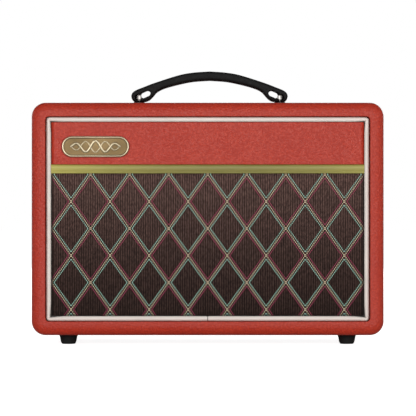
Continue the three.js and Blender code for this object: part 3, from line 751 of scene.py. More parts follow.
def screw_head(name, at, facing, radius):
    """A domed cross-head screw: the cross is sunk in the dome."""
    height = radius * 0.55
    profile = [(0, height), (radius * 0.5, height * 0.93), (radius * 0.86, height * 0.5, 0.2), (radius, 0), (0, 0)]
    mesh, work = open_mesh(name, turned(profile, segments=32))
    face_outward(work)
    for vertex in work.verts:
        x, y, z = vertex.co / MM
        in_cross = min(abs(x), abs(y)) < radius * 0.16 and max(abs(x), abs(y)) < radius * 0.62
        if in_cross and z > height * 0.4:
            vertex.co.z -= height * 0.45 * MM
        vertex.co = FACINGS[facing] @ vertex.co + Vector(at) * MM
    dress(name, close_mesh(mesh, work), STEEL)


cabinet()
for place in FOUR_ENDS:
    foot(f"foot_{place}")


# ---------- Front: fascia, cloth, bead, piping, badge ----------

def fascia():
    low, high = span("fascia_panel")
    hem = 0.75  # the covering wraps the lower edge
    shape = pillow((high.x - low.x) / 2, (high.z - low.z + hem) / 2, 3.5, 0.25, high.y, low.y, 2.4,
                   (low.z + high.z - hem) / 2)
    build("fascia_cover", shape, RED_VINYL, "fascia_panel", sharp=60)


def grille_cloth():
    """A stretched sheet with real ribs, rolled back over the frame at its left and right."""
    low, high = span("grille_cloth")
    roll, depth, rib_height = 3.4, 1.6, 0.16
    half = high.x
    columns, rows = int(round(8 * half / RIB)), 24
    points, faces = [], []
    for i in range(columns + 1):
        x = -half + 2 * half * i / columns
        edge = max(0.0, 1 - (half - abs(x)) / roll)
        rolled = depth * (1 - math.sqrt(max(0.0, 1 - edge ** 2)))
        rib = rib_height * 0.5 * (1 - math.cos(2 * math.pi * x / RIB))
        for k in range(rows + 1):
            points.append((x, low.y + rolled + rib_height - rib, low.z + (high.z - low.z) * k / rows))
    for i in range(columns):
        for k in range(rows):
            a = i * (rows + 1) + k
            faces.append((a, a + rows + 1, a + rows + 2, a + 1))
    cloth = build("grille_weave_sheet", (points, faces), WEAVE, "grille_cloth", sharp=180)
    thicken(cloth, 0.5, -1)


def gold_bead():
    low, high = span("gold_trim_strip")
    seat, face = high.y, low.y
    section = fillet([
        (seat, low.z - 0.3), (face + 0.8, low.z - 0.3, 0.3), (face + 0.55, low.z + 0.7, 0.4),
        (face + 0.75, low.z + 1.3, 0.4), (face + 0.2, low.z + 3.6, 2.5), (face, low.z + 5.3, 2.5),
        (face + 0.3, low.z + 7.4, 2.5), (face + 1.1, high.z - 0.55, 0.5), (seat, high.z - 0.5),
    ], steps=5)
    build("gold_bead", prism(section, low.x, high.x, "X"), GOLD, "gold_trim_strip", sharp=50)


def piping():
    """A soft cord round the front. It thins towards each mitred corner, and its ends butt at the bottom."""
    low, high = span("white_piping")
    x, depth, z = (high - low) / 2
    centre = middle("white_piping")
    r = 3.2  # of its path round each corner
    full, reach = 5.2, 17.0
    thin_side, thin_top, thin_bottom = 4.2, 4.4, 3.6
    swell = 0.5  # the soft cord bulges towards the walls
    seam = 0.15
    corner_steps, straight_steps = 8, 26
    stations = []

    def along(start, end, outward, thin):
        length = (Vector(end) - Vector(start)).length
        for k in range(straight_steps):
            # stations crowd towards both ends of the run
            t = 0.5 - 0.5 * math.cos(math.pi * (k + 0.5) / straight_steps)
            spot = Vector(start).lerp(Vector(end), t)
            stations.append((spot, Vector(outward), min(t, 1 - t) * length, thin))

    def round_corner(at, first, thin_before, thin_after):
        for k in range(corner_steps + 1):
            turn = math.radians(first - 90 * k / corner_steps)
            outward = Vector((math.cos(turn), math.sin(turn)))
            thin = thin_before + (thin_after - thin_before) * k / corner_steps
            stations.append((Vector(at) + outward * r, outward, 0.0, thin))

    along((-seam, -z), (-x + r, -z), (0, -1), thin_bottom)
    round_corner((-x + r, -z + r), 270, thin_bottom, thin_side)
    along((-x, -z + r), (-x, z - r), (-1, 0), thin_side)
    round_corner((-x + r, z - r), 180, thin_side, thin_top)
    along((-x + r, z), (x - r, z), (0, 1), thin_top)
    round_corner((x - r, z - r), 90, thin_top, thin_side)
    along((x, z - r), (x, -z + r), (1, 0), thin_side)
    round_corner((x - r, -z + r), 0, thin_side, thin_bottom)
    along((x - r, -z), (seam, -z), (0, -1), thin_bottom)
    rings = []
    for i, (spot, outward, distance, thin) in enumerate(stations):
        near = 0.0 if abs(spot.x) < x / 2 and outward.y else max(0.0, 1 - distance / reach)
        half = (full - (full - thin) * near ** 1.5) / 2
        shrink = 0.86 if i in (0, len(stations) - 1) else 1.0
        ring = []
        for a, b in circle(1.0, 20):
            at = spot - outward * (half - swell - half * shrink * a)
            ring.append((at.x, centre.y + depth * shrink * b, centre.z + at.y))
        rings.append(ring)
    build("piping_cord", loft(rings), PIPING, "white_piping", sharp=70)


def badge():
    """A generic nameplate: a raised rim round a fluted field, with a plain wave across it."""
    low, high = span("badge")
    x, _, z = middle("badge")
    half_x, _, half_z = (high - low) / 2
    back, front = high.y + 0.25, low.y

    def ring(inset, y, steps, slack=0.01):
        outline = rounded_rectangle(half_x - inset, half_z - inset, half_z - inset - slack, steps, x, z)
        return [(a, y, b) for a, b in outline]

    levels = [(0.0, back), (0.0, front + 0.9), (0.25, front + 0.35), (0.8, front), (1.7, front), (2.2, front + 0.4),
              (2.5, front + 1.2)]
    build("badge_plate", loft([ring(inset, y, 16) for inset, y in levels]), BADGE_FIELD, "badge", sharp=50)
    rim = [ring(inset, y - 0.05, 24) for inset, y in levels[1:]]
    rim += [ring(2.4, front + 1.5, 24), ring(-0.05, front + 1.5, 24, 0.05)]
    build("badge_rim", loft(rim, loop=True), BADGE_GOLD, finish="badge_gold", sharp=60)
    waves = []
    for phase, width, size in ((0.0, 2.6, 1.5), (math.pi, 1.4, 0.8)):
        route = []
        for k in range(97):
            t = k / 96
            swing = 6.2 * math.sin(2 * math.pi * 2.5 * t + phase) * math.sin(math.pi * t) ** 0.5
            route.append((x - 27 + 54 * t, front + 0.75, z + swing))
        waves.append(sweep(route, [(b * size / 2, a * width / 2) for a, b in circle(1.0, 12)]))
    build("badge_wave", merge(*waves), BADGE_GOLD, finish="badge_gold", sharp=60)


fascia()
grille_cloth()
gold_bead()
piping()
badge()


# ---------- Handle ----------

# The right half of the strap: distance from the middle and height above the cabinet, down to the tip and back.
STRAP_TOP = [
    (0, 35.8), (18, 34.5), (33.8, 31.6), (59.1, 23.6), (71.5, 18.9), (80.6, 15.2), (84.6, 12), (85.7, 8.6),
]
STRAP_UNDER = [
    (0, 26.2), (18, 24.9), (33.8, 21.8), (49, 17.6), (57.2, 13.6), (60.3, 10.3), (63.3, 6.9), (66.6, 4.2),
    (71, 2.8), (77, 2.8), (82, 2.8), (84.6, 4.8), (85.7, 8.6),
]
STRAP_RINGS = 60  # in each half
HANDLE_X, HANDLE_Y, _ = middle("handle_strap")
HANDLE_HALF_WIDTH = span("handle_strap")[1].y - HANDLE_Y
STUD_OFFSET = 77.2
SLOT_END = (67.9, 11.9)
SLOT_TILT = 24.0
SLOT_THROUGH, POCKET_END = 4.5, 11.6
SLOT_RADIUS = 3.35
POCKET_BACK = 5.0
EYE_LOW, EYE_FLOOR = 2.8, 4.1


def apply_modifiers(piece):
    graph = bpy.context.evaluated_depsgraph_get()
    mesh = bpy.data.meshes.new_from_object(piece.evaluated_get(graph))
    piece.modifiers.clear()
    piece.data = mesh
    return mesh


def loose(name, shape):
    """A helper object that is not a piece: it is used for a boolean and removed."""
    mesh, work = open_mesh(name, shape)
    face_outward(work)
    return link(name, close_mesh(mesh, work))


def carved(name, shape, cutters, voxel=0.0):
    """The mesh of a shape less its cutters, remade in even faces where a voxel size is given."""
    body = loose(f"{name}_blank", shape)
    helpers = [body]
    for i, cutter in enumerate(cutters):
        helpers.append(loose(f"{name}_cutter_{i}", cutter))
        cut = body.modifiers.new(f"cut_{i}", "BOOLEAN")
        cut.operation = "DIFFERENCE"
        cut.object = helpers[-1]
        cut.solver = "EXACT"
    mesh = apply_modifiers(body)
    if voxel:
        remesh = body.modifiers.new("even", "REMESH")
        remesh.mode = "VOXEL"
        remesh.voxel_size = voxel * MM
        mesh = apply_modifiers(body)
    for helper in helpers:
        bpy.data.objects.remove(helper)
    mesh.materials.clear()
    return mesh


def resample(route, count):
    """That many points, evenly spaced along a route."""
    lengths = [0.0]
    for a, b in zip(route, route[1:]):
        lengths.append(lengths[-1] + (b - a).length)
    result = []
    k = 0
    for i in range(count):
        want = lengths[-1] * i / (count - 1)
        while k < len(lengths) - 2 and lengths[k + 1] < want:
            k += 1
        part = (want - lengths[k]) / max(lengths[k + 1] - lengths[k], 1e-9)
        result.append(route[k].lerp(route[k + 1], min(part, 1)))
    return result


def handle():
    """A moulded strap: rounded in section, swelling into a slotted eye at each end."""
    tops = resample(smooth_route([(x, 0, z) for x, z in STRAP_TOP], 10), STRAP_RINGS)
    bottoms = resample(smooth_route([(x, 0, z) for x, z in STRAP_UNDER], 6), STRAP_RINGS)
    pairs = [(Vector((-a.x, 0, a.z)), Vector((-b.x, 0, b.z))) for a, b in zip(tops[:0:-1], bottoms[:0:-1])]
    rings = []
    for top, bottom in pairs + list(zip(tops, bottoms)):
        centre, height = (top + bottom) / 2, (top - bottom).length
        up = (top - bottom).normalized() if height > 1e-6 else Vector((0, 0, 1))
        half_width = HANDLE_HALF_WIDTH - 3.0 * max(0.0, 1 - height / 9.0) ** 2
        radius = max(min(3.4, height * 0.42), 0.02)
        outline = rounded_rectangle(half_width, max(height / 2, 0.05), radius, 6)
        rings.append([(centre.x + up.x * b, a, centre.z + up.z * b) for a, b in outline])
    cutters = []
    for sign in (-1, 1):
        for to, radius, back in ((POCKET_END, SLOT_RADIUS, POCKET_BACK), (SLOT_THROUGH, SLOT_RADIUS - 0.2, 40)):
            outline = rounded_rectangle(to / 2 + radius, radius, radius - 0.01, 12, sign * to / 2, 0)
            cutter = rotated(prism(outline, -40, back, "Y"), sign * SLOT_TILT, "Y")
            cutters.append(moved(cutter, sign * SLOT_END[0], 0, SLOT_END[1]))
        for radius, low in ((3.35, EYE_FLOOR), (2.1, -2)):
            cutters.append(turned([(0, low), (radius, low), (radius, 11), (0, 11)], (sign * STUD_OFFSET, 0, 0)))
    mesh = carved("handle", loft(rings), cutters, 0.45)
    work = bmesh.new()
    work.from_mesh(mesh)
    for _ in range(3):
        bmesh.ops.smooth_vert(work, verts=work.verts, factor=0.5, use_axis_x=True, use_axis_y=True, use_axis_z=True)
    floor_z = (EYE_LOW + 0.02) * MM
    for vertex in work.verts:
        vertex.co.z = max(vertex.co.z, floor_z)
        vertex.co += Vector((HANDLE_X, HANDLE_Y, TOP)) * MM
    dress("handle_grip", close_mesh(mesh, work), GRIP, "handle_strap", sharp=80)


def grip_rubber():
    """Moulded leather-like grain on the strap."""
    look = Look("grip_rubber", (0.004, 0.0038, 0.0037), 0.5, Specular_IOR_Level=0.22)
    pebbles = look.cells(700)
    creases = look.noise(330, 4, 0.6)
    look.colour(look.mix(look.between(creases, 0.35, 0.7), (0.003, 0.0029, 0.0028), (0.007, 0.0066, 0.0064)))
    look.roughness(look.between(creases, 0.3, 0.7, 0.6, 0.8))
    look.bump(look.plus(pebbles, creases), 0.16, 0.7)
    return look.material


GRIP = grip_rubber()


def handle_fixings(side, sign):
    at = (HANDLE_X + sign * STUD_OFFSET, HANDLE_Y, TOP)
    head, high, radius = 5.7, 10.4, 2.7
    stud = turned([
        (0, -24), (2, -24, 0.4), (2, 0.2), (1.6, 0.2, 0.1), (1.6, head), (radius, head, 0.2), (radius, high - 1.0, 0.5),
        (radius - 0.6, high - 0.1, 0.5), (0, high),
    ], at, segments=48)
    build(f"stud_{side}", stud, SATIN, f"handle_stud_{side}")
    washer = turned([(1.9, 0.3, 0.2), (6.2, 0.3, 0.3), (6.0, 2.5, 0.5), (1.9, 2.5, 0.2)], at, loop=True)
    build(f"seat_{side}", washer, PLASTIC, f"handle_seat_{side}")
    recoat(f"handle_nut_{side}", STEEL, 0.3)


handle()
for side, sign in SIDES:
    handle_fixings(side, sign)


# ---------- Back and inside boards ----------

def back_panel():
    low, high = span("back_panel")
    build("back_board", box(low, high), BLACK_VINYL, "back_panel", 2.2, 4)
    cup = turned([(2.6, 0.9, 0.2), (6.0, 0.0), (6.0, -0.5), (2.6, -0.5)], axis="Y", segments=40, loop=True)
    for i, x in enumerate((-165, 0, 165)):
        for k, z in enumerate((36, 126)):
            if x or not k:
                build(f"back_cup_{i}{k}", moved(cup, x, high.y + 0.4, z), STEEL, finish="plated_steel")
                screw_head(f"back_screw_{i}{k}", (x, high.y + 0.5, z), "Y", 3.3)


back_panel()
recoat("baffle_board", timber("baffle_ply", (0.055, 0.045, 0.038), (0.032, 0.026, 0.022), "X"), 0.6)
for place in FOUR_ENDS:
    recoat(f"cleat_{place}", CLEAT_WOOD, 0.8)


# ---------- Speaker ----------

SPEAKER_Z = middle("speaker_basket").z
FLANGE = span("speaker_basket")[0].y
AXIS = (0, FLANGE, SPEAKER_Z)


def basket():
    """A pressed frame with six windows, drawn as a skin and thickened."""
    line = fillet([
        (81.6, 0.2), (81.6, 1.3, 0.6), (74.5, 1.4, 1.5), (71.5, 4.9, 3), (44, 34.2, 4), (40.6, 41.2, 1.5),
        (15.2, 41.3),
    ], steps=5)
    rows = []
    for (r0, y0), (r1, y1) in zip(line, line[1:]):
        pieces = max(1, int(math.hypot(r1 - r0, y1 - y0) / 3))
        rows += [(r0 + (r1 - r0) * k / pieces, y0 + (y1 - y0) * k / pieces) for k in range(pieces)]
    points, faces = turned(rows + [line[-1]], AXIS, "Y", 120)

    def in_window(face):
        centre = sum((Vector(points[i]) for i in face), Vector()) / len(face) - Vector(AXIS)
        angle = math.degrees(math.atan2(centre.z, centre.x)) % 60
        half_span = math.degrees(15 / math.hypot(centre.x, centre.z))
        return 9 < centre.y < 30 and min(angle, 60 - angle) < half_span

    keep = [face for face in faces if not in_window(face)]
    piece = build("basket_frame", (points, keep), BLACK_STEEL, "speaker_basket")
    thicken(piece, 1.1, 0)
    soften(piece, 0.3, 50)


def rippled(start, end, waves, height, thickness, count):
    """A closed profile for a corrugated disc between two radii."""
    front = []
    for k in range(count + 1):
        t = k / count
        radius = start[0] + (end[0] - start[0]) * t
        along = start[1] + (end[1] - start[1]) * t + height * math.sin(2 * math.pi * waves * t)
        front.append((radius, along))
    return front + [(radius, along + thickness) for radius, along in reversed(front)]


def axial_nut(across, height, radius, length, segments):
    """A nut on the end of its screw, both along Y."""
    stem = turned([(0, 0), (radius, 0), (radius, length, 0.3), (0, length)], axis="Y", segments=segments)
    return merge(rotated(hexagon(across, 0, height), -90, "X"), stem)


def drive_unit():
    cap = [(17.0 * math.sin(t * math.pi / 40), 24.0 - 7.6 * math.cos(t * math.pi / 40)) for t in range(19)]
    roll = []
    for radius in (4.1, 3.5):
        arc = [(65.6 + radius * math.cos(math.pi * k / 16), 2.6 - radius * math.sin(math.pi * k / 16))
               for k in range(17)]
        roll += arc if radius > 4 else arc[::-1]
    # name, node, look, angle of the sharp edges, segments, whether the profile closes, profile
    for name, node, look, sharp, segments, loop, profile in (
            ("cone_body", "speaker_cone", CONE, 60, 96, True, rippled((13.9, 26.5), (61, 1.3), 5, 0.25, 0.9, 60)),
            ("cap_dome", "dust_cap", CONE, 60, 64, False, cap + [(r, y + 0.6) for r, y in reversed(cap)]),
            ("coil_former", "voice_coil", COPPER, 35, 64, True, [(12.6, 25.6), (13.2, 25.6), (13.2, 51), (12.6, 51)]),
            ("surround_roll", "cone_surround", RUBBER, 60, 96, True, roll),
            ("spider_disc", "cone_spider", SPIDER, 60, 96, True, rippled((13.8, 33.7), (41.2, 33.7), 4, 0.6, 0.5, 64)),
            ("top_plate", "speaker_top_plate", STEEL, 35, 96, True,
             [(14, 42.3, 0.3), (36, 42.3, 0.6), (36, 47.3, 0.6), (14, 47.3, 0.3)]),
            ("magnet_ring", "speaker_magnet", FERRITE, 35, 96, True,
             [(18, 47.6, 0.5), (40, 47.6, 1.0), (40, 59.6, 1.0), (18, 59.6, 0.5)]),
            ("yoke", "speaker_yoke", STEEL, 35, 96, False,
             [(0, 43), (11.8, 43, 0.4), (11.8, 59.9), (36, 59.9, 0.5), (36, 64.9, 1.2), (7, 64.9, 0.8), (5.5, 63.4),
              (0, 63.4)])):
        build(name, turned(profile, AXIS, "Y", segments, loop), look, node, sharp=sharp)
    nut = axial_nut(5.5, 2.6, 1.6, 5.0, 20)
    for i in range(8):
        turn = math.radians(22.5 + 45 * i)
        at = (77.8 * math.cos(turn), FLANGE + 2.0, SPEAKER_Z + 77.8 * math.sin(turn))
        build(f"speaker_nut_{i}", moved(nut, *at), STEEL, bevel=0.2, finish="plated_steel")


def terminals():
    low, high = span("speaker_terminal")
    build("tag_board", box(low, high), PLASTIC, "speaker_terminal", 0.4)
    for side, sign in SIDES:
        tag = box((sign * 4 - 1.5, high.y, low.z + 2), (sign * 4 + 1.5, high.y + 0.6, high.z + 2.5))
        build(f"solder_tag_{side}", tag, BRASS, bevel=0.15, finish="copper")


LEAD_ROUTE = [
    (0, -26.4, 168.4), (0, -24.5, 176), (-3, -10, 181), (-8, 12, 184), (-14, 26, 196), (-16, 30, 214),
    (-16, 30, 231.0),
]


def lead():
    route = smooth_route(LEAD_ROUTE, 10)
    cores = [sweep(route, [(a + offset, b) for a, b in circle(0.8, 14)]) for offset in (-0.78, 0.78)]
    build("speaker_lead", merge(*cores), PLASTIC, "speaker_cable", sharp=70)


basket()
drive_unit()
terminals()
lead()


# ---------- Chassis, controls and electronics ----------

def on_panel(x, y, profile, segments=64):
    """A ring that stands on the control panel."""
    return turned(profile, (x, y, PANEL_Z), segments=segments, loop=True)


def knob(name):
    """A fluted knob on a skirt, with an inlaid line that points at the scale."""
    node = f"{name}_knob"
    low, high = span(node)
    x, y = (low.x + high.x) / 2, span(f"{name}_pot_body")[0].y + 8.5
    rings = []
    levels = [
        (3.3, high.z - 3.3, 0), (3.3, low.z + 0.4, 0), (3.8, low.z, 0), (9.1, low.z, 0), (9.6, low.z + 0.5, 0),
        (9.6, low.z + 1.4, 0), (9.2, low.z + 1.9, 0), (8.2, low.z + 2.4, 0), (7.7, low.z + 3.2, 0.4),
        (7.5, low.z + 4.0, 1), (7.2, low.z + 8, 1), (7.0, high.z - 1.6, 1), (6.8, high.z - 0.9, 0.7),
        (6.3, high.z - 0.35, 0.3), (5.7, high.z, 0), (4.6, high.z, 0), (4.2, high.z - 0.3, 0), (0.0, high.z - 0.3, 0),
    ]
    count, flutes, flute_depth = 144, 18, 0.35
    for radius, z, depth in levels:
        ring = []
        for k in range(count):
            turn = 2 * math.pi * k / count
            r = radius - flute_depth * depth * (0.5 + 0.5 * math.cos(flutes * turn)) ** 2
            ring.append((x + r * math.sin(turn), y + r * math.cos(turn), z))
        rings.append(ring)
    points, faces = loft(rings, caps=False)
    build(f"{name}_dial", (points, faces + [tuple(range(count))]), PLASTIC, node, sharp=40)
    line = merge(
        box((x - 0.45, y + 3.0, high.z - 0.35), (x + 0.45, y + 6.2, high.z + 0.02)),
        box((x - 0.45, y + 7.0, low.z + 1.0), (x + 0.45, y + 9.62, low.z + 2.4)),
    )
    build(f"{name}_pointer", line, INK, bevel=0.1, body=node)
    recoat(f"{name}_shaft", ALUMINIUM)
    can = turned([
        (0, 233.6), (8.2, 233.6, 0.8), (8.5, 244.4, 0.4), (4.4, 244.4), (4.4, PANEL_Z + 4.2, 0.3),
        (3.35, PANEL_Z + 4.2, 0.2), (3.35, 236), (0, 236),
    ], (x, y, 0), segments=48)
    build(f"{name}_can", can, STEEL, f"{name}_pot_body")
    washer = on_panel(x, y, [(4.7, 0.05), (7.0, 0.05, 0.1), (7.0, 0.6, 0.1), (4.7, 0.6)], 40)
    nut = on_panel(x, y, [(4.6, 0.65), (6.2, 0.65, 0.2), (6.2, 2.6, 0.3), (4.6, 2.6)], 6)
    build(f"{name}_nut", merge(washer, nut), STEEL, finish="plated_steel")
    return x, y


def scale_marks(name, x, y):
    """Eleven ticks round a dial, with plain numbers at the ends and the middle."""
    marks = []
    for i in range(11):
        tick = box((-0.2, 10.9, PANEL_Z + 0.02), (0.2, 12.5 if i % 5 else 13.5, PANEL_Z + 0.1))
        marks.append(moved(rotated(tick, 150 - 30 * i, "Z"), x, y))
    build(f"{name}_scale", merge(*marks), INK)
    for number, degrees in ((0, 150), (5, 0), (10, -150)):
        turn = math.radians(degrees)
        at = Vector((x - math.sin(turn) * 15.6, y + math.cos(turn) * 15.6, PANEL_Z + 0.03))
        numeral(f"{name}_number_{number}", str(number), at, 3.2)


def numeral(name, text, at, size):
    curve = bpy.data.curves.new(name, "FONT")
    curve.body = text
    curve.size = size * MM
    curve.align_x = curve.align_y = "CENTER"
    curve.extrude = 0.03 * MM
    holder = link(name + "_text", curve)
    mesh = bpy.data.meshes.new_from_object(holder.evaluated_get(bpy.context.evaluated_depsgraph_get()))
    bpy.data.objects.remove(holder)
    mesh.transform(Matrix.Translation(at * MM))
    mesh.name = name
    mesh.materials.clear()
    dress(name, mesh, INK, sharp=30)


def jack(node):
    low, high = span(node)
    x, y, _ = middle(node)
    nose = turned([
        (0, 225), (3.3, 225), (3.3, high.z - 0.5), (3.9, high.z, 0.2), (4.6, high.z, 0.3), (4.6, 244.3), (4.6, 240),
        (0, 240),
    ], (x, y, 0), segments=48)
    build(f"{node}_nose", nose, STEEL, node, finish="plated_steel")
    bore = prism([(x + a, y + b) for a, b in circle(3.5, 32)], 224, 246, "Z")
    mesh = carved(node, box((low.x, low.y, 222), (high.x, high.y, 244.2)), [bore])
    dress(f"{node}_body", mesh, PLASTIC, finish="black_plastic")
    washer = on_panel(x, y, [(4.8, 0.05), (7.6, 0.05, 0.1), (7.6, 0.7, 0.2), (4.8, 0.7)])
    nut = on_panel(x, y, [(4.75, 0.75), (6.9, 0.75, 0.2), (6.9, 2.7, 0.4), (4.75, 2.7, 0.2)], 6)
    build(f"{node}_nut", merge(washer, nut), STEEL, finish="plated_steel")


def channel_button():
    low, high = span("channel_button")
    x, y, _ = middle("channel_button")
    shape = turned([
        (0, low.z), (2.5, low.z), (2.5, low.z + 4.1), (4.5, low.z + 4.1, 0.2), (4.5, high.z - 1.2, 1.0),
        (3.4, high.z - 0.2, 0.8), (2.4, high.z - 0.5, 0.8), (0, high.z - 0.9),
    ], (x, y, 0))
    build("channel_cap", shape, PLASTIC, "channel_button")
    collar = on_panel(x, y, [(5.15, 0.02), (6.6, 0.02, 0.2), (6.4, 0.9, 0.4), (5.15, 0.9, 0.2)])
    build("channel_collar", collar, STEEL, finish="plated_steel")
    recoat("channel_switch", PLASTIC, 0.3)


def power_switch():
    high = span("power_switch")[1].z
    x, y, _ = middle("power_switch")
    rings = []
    for inset, z in ((0, PANEL_Z + 0.3), (0, high - 0.7), (0.3, high - 0.2), (0.8, high), (1.7, high),
                     (2.2, high - 0.3), (2.3, high - 1.2), (2.3, 238), (1.3, 238), (1.3, PANEL_Z + 0.3)):
        outline = rounded_rectangle(7.5 - inset, 10.5 - inset, max(1.2 - inset * 0.4, 0.3), 4, x, y)
        rings.append([(a, b, z) for a, b in outline])
    build("switch_bezel", loft(rings, loop=True), PLASTIC, "power_switch", sharp=40)
    case = box((x - 6.2, y - 9.2, 226), (x + 6.2, y + 9.2, 237.9))
    build("switch_body", case, PLASTIC, bevel=0.5, finish="black_plastic")
    pivot = (x, y, PANEL_Z - 3.2)

    def off(shape):
        """A shape round the pivot, set in the rocker's rest position."""
        return rotated(moved(shape, *pivot), -9, "X", pivot)

    section = fillet([(-7, 1.2, 0.5), (-2, -2.8, 1), (2, -2.8, 1), (7, 1.2, 0.5), (7, 5.0, 0.7), (3.5, 4.1, 3),
                      (-3.5, 4.1, 3), (-7, 5.0, 0.7)], closed=True)
    build("rocker_cap", off(prism(section, -4.9, 4.9, "X")), PLASTIC, "power_rocker", 0.35)
    bar = box((-0.35, 3.2, 4.45), (0.35, 5.6, 4.75))
    ring = turned([(0.95, -0.08), (1.4, -0.08), (1.4, 0.08), (0.95, 0.08)], (0, -4.6, 4.6), segments=32, loop=True)
    marks = merge(rotated(bar, 13, "X", (0, 4.4, 4.5)), rotated(ring, -13, "X", (0, -4.6, 4.6)))
    build("rocker_marks", off(marks), INK, body="power_rocker")


def power_lamp():
    low, high = span("power_lamp")
    x, y, _ = middle("power_lamp")
    lens = turned([(0, low.z), (2.5, low.z), (2.5, PANEL_Z + 1.0, 0.6), (1.9, PANEL_Z + 2.2, 1.2), (0, high.z)],
                  (x, y, 0), segments=48)
    build("lamp_dome", lens, LENS, "power_lamp")
    ring = on_panel(x, y, [(2.75, 0.02), (4.0, 0.02, 0.2), (3.7, 1.1, 0.4), (2.75, 1.2, 0.2)])
    build("lamp_ring", ring, CHROME, finish="chrome")


def mains_inlet():
    face = span("mains_inlet")[1].y
    x, _, z = middle("mains_inlet")
    rings = []
    for half_x, half_z, y, radius in (
            (13.7, 9.7, 58, 1), (13.7, 9.7, face - 2.0, 1), (15.5, 12, face - 2.0, 2), (15.5, 12, face - 0.5, 2),
            (15.0, 11.5, face, 2), (12.8, 8.8, face, 2), (12.1, 8.1, face - 0.5, 2), (12, 8, 66, 2)):
        outline = rounded_rectangle(half_x, half_z, radius, 4, x, z)
        rings.append([(a, y, b) for a, b in outline])
    build("inlet_body", loft(rings), PLASTIC, "mains_inlet", sharp=40)
    pins = [box((x + a - 1, 64, z + b - 2), (x + a + 1, 79, z + b + 2)) for a, b in ((-7, -2.5), (7, -2.5), (0, 3.5))]
    build("inlet_pins", merge(*pins), BRASS, bevel=0.4, finish="copper")


def chassis_details():
    recoat("chassis", BLACK_STEEL, 0.5)
    rear = span("chassis")[1].y
    for i, (x, z) in enumerate(((-160, 198), (-160, 238), (0, 238), (160, 198), (160, 238))):
        screw_head(f"chassis_screw_{i}", (x, rear, z), "Y", 2.8)
    for i, x in enumerate((-158, 158)):
        screw_head(f"panel_screw_{i}", (x, 41, PANEL_Z), "Z", 2.6)


def transformer():
    recoat("transformer_core", CORE, 0.3)
    recoat("transformer_winding", TAPE, 1.2)
    low, high = span("transformer_core")
    bolt = axial_nut(5.5, 2.2, 1.5, 4, 16)
    for i, x in enumerate((low.x + 4, high.x - 4)):
        for k, z in enumerate((low.z + 4, high.z - 4)):
            build(f"core_bolt_{i}{k}", moved(bolt, x, high.y, z), STEEL, bevel=0.2, finish="plated_steel")


def circuit():
    """The board with its scattered small components, the heatsink and the smoothing capacitor."""
    recoat("circuit_board", CIRCUIT, 0.2)
    recoat("heatsink", ALUMINIUM, 0.3)
    low, _ = span("circuit_board")
    scatter = random.Random(7)
    resistor = turned([(0, -3.4), (1.1, -3.4, 0.4), (1.3, -2.2, 0.4), (1.0, 0, 1), (1.3, 2.2, 0.4),
                       (1.1, 3.4, 0.4), (0, 3.4)], axis="Y", segments=20)
    blocks = {"film": (3.5, 1.4, 6.2), "chip": (4.8, 3.1, 3.4)}  # half sizes and drop below the board
    parts = {"resistor": [], "film": [], "chip": []}
    for row in range(3):
        for column in range(9):
            x = low.x + 14 + column * 19 + scatter.uniform(-3, 3)
            y = low.y + 12 + row * 16 + scatter.uniform(-2, 2)
            # clear of the capacitor and of the lead
            if abs(x - 40) < 12 and y > 44 or abs(x + 16) < 6 and abs(y - 30) < 8:
                continue
            kind = scatter.choice(("resistor", "resistor", "film", "chip"))
            if kind == "resistor":
                parts[kind].append(moved(resistor, x, y, low.z - 1.5))
            else:
                a, b, drop = blocks[kind]
                parts[kind].append(box((x - a, y - b, low.z - drop), (x + a, y + b, low.z - 0.1)))
    looks = {
        "resistor": moulded("resistor_lacquer", (0.42, 0.30, 0.16), 0.35),
        "film": moulded("film_capacitor", (0.36, 0.05, 0.03), 0.3),
        "chip": PLASTIC,
    }
    for kind, shapes in parts.items():
        build(f"{kind}_set", merge(*shapes), looks[kind], bevel=0.0 if kind == "resistor" else 0.4)
    x, y, _ = middle("smoothing_capacitor")
    low, high = (corner.z for corner in span("smoothing_capacitor"))
    sleeve = turned([(0, low + 0.6), (6.6, low + 0.6), (7.0, low, 0.4), (8, low, 0.9), (8, high - 3.4, 0.4),
                     (7.5, high - 2.6, 0.4), (8, high - 1.8, 0.4), (8, high), (0, high)], (x, y, 0))
    build("capacitor_sleeve", sleeve, moulded("capacitor_blue", (0.02, 0.035, 0.12), 0.3), "smoothing_capacitor")


for name in KNOB_NAMES:
    scale_marks(name, *knob(name))
for node in ("input_jack", "phones_jack"):
    jack(node)
channel_button()
power_switch()
power_lamp()
mains_inlet()
chassis_details()
transformer()
circuit()


# ---------- Stage: floor, soft light, world ----------

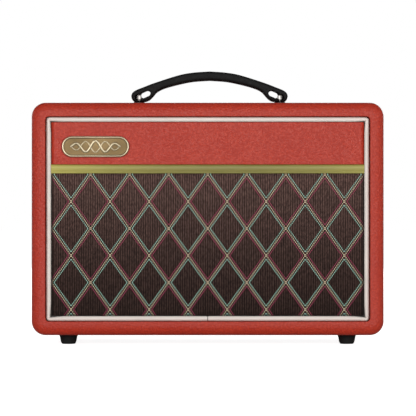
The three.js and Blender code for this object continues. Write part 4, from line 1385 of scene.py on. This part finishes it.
def floor():
    size = 12.0
    mesh = bpy.data.meshes.new("floor")
    corners = [(-size, -size, 0), (size, -size, 0), (size, size, 0), (-size, size, 0)]
    mesh.from_pydata(corners, [], [(0, 1, 2, 3)])
    look = Look("pale_floor", (0.62, 0.62, 0.62), 0.8, Emission_Color=(1, 1, 1, 1))
    look.roughness(look.between(look.noise(3, 2), 0.3, 0.7, 0.75, 0.9))
    # The paper sweep glows towards the camera only, and more so far away, so that it stays white.
    reach = look.node("ShaderNodeVectorMath", {0: look.space}, operation="LENGTH").outputs["Value"]
    seen = look.node("ShaderNodeLightPath").outputs["Is Camera Ray"]
    glow = look.times(look.between(reach, 0.4, 1.6, 0.9, 1.0), seen)
    look.feed(look.shader.inputs["Emission Strength"], glow)
    mesh.materials.append(look.material)
    link("floor", mesh)


def softbox(name, at, target, width, height, power):
    data = bpy.data.lights.new(name, "AREA")
    data.shape = "RECTANGLE"
    data.size, data.size_y = width, height
    data.energy = power
    light = link(name, data)
    light.location = at
    light.rotation_euler = (Vector(target) - Vector(at)).to_track_quat("-Z", "Y").to_euler()
    light.visible_camera = False


def world():
    made = bpy.data.worlds.new("world")
    made.use_nodes = True
    nodes, links = made.node_tree.nodes, made.node_tree.links
    backdrop = nodes["Background"]
    backdrop.inputs["Color"].default_value = (1, 1, 1, 1)
    backdrop.inputs["Strength"].default_value = 0.025
    seen = nodes.new("ShaderNodeBackground")
    seen.inputs["Color"].default_value = (1, 1, 1, 1)
    seen.inputs["Strength"].default_value = 1.0
    path = nodes.new("ShaderNodeLightPath")
    mixer = nodes.new("ShaderNodeMixShader")
    links.new(path.outputs["Is Camera Ray"], mixer.inputs[0])
    links.new(backdrop.outputs[0], mixer.inputs[1])
    links.new(seen.outputs[0], mixer.inputs[2])
    links.new(mixer.outputs[0], nodes["World Output"].inputs["Surface"])
    bpy.context.scene.world = made


floor()
world()
for name, at, width, height, power in (
        ("key_left", (-1.35, -2.6, 0.72), 1.1, 1.1, 27), ("key_right", (1.35, -2.6, 0.72), 1.1, 1.1, 30),
        ("front", (0, -3.1, 0.6), 1.0, 0.7, 26), ("overhead", (0, 0.1, 2.2), 2.0, 2.0, 4),
        ("side_left", (-2.4, 0.3, 0.9), 1.4, 1.0, 7), ("side_right", (2.4, 0.3, 0.9), 1.4, 1.0, 7),
        ("rear_left", (-1.35, 2.6, 0.8), 1.3, 1.1, 15), ("rear_right", (1.35, 2.6, 0.8), 1.3, 1.1, 17),
        ("rear", (0, 3.1, 0.7), 1.0, 0.7, 14)):
    softbox(name, at, (0, 0, 0.14), width, height, power)
bpy.context.scene.view_settings.view_transform = "Standard"
bpy.context.scene.view_settings.look = "None"
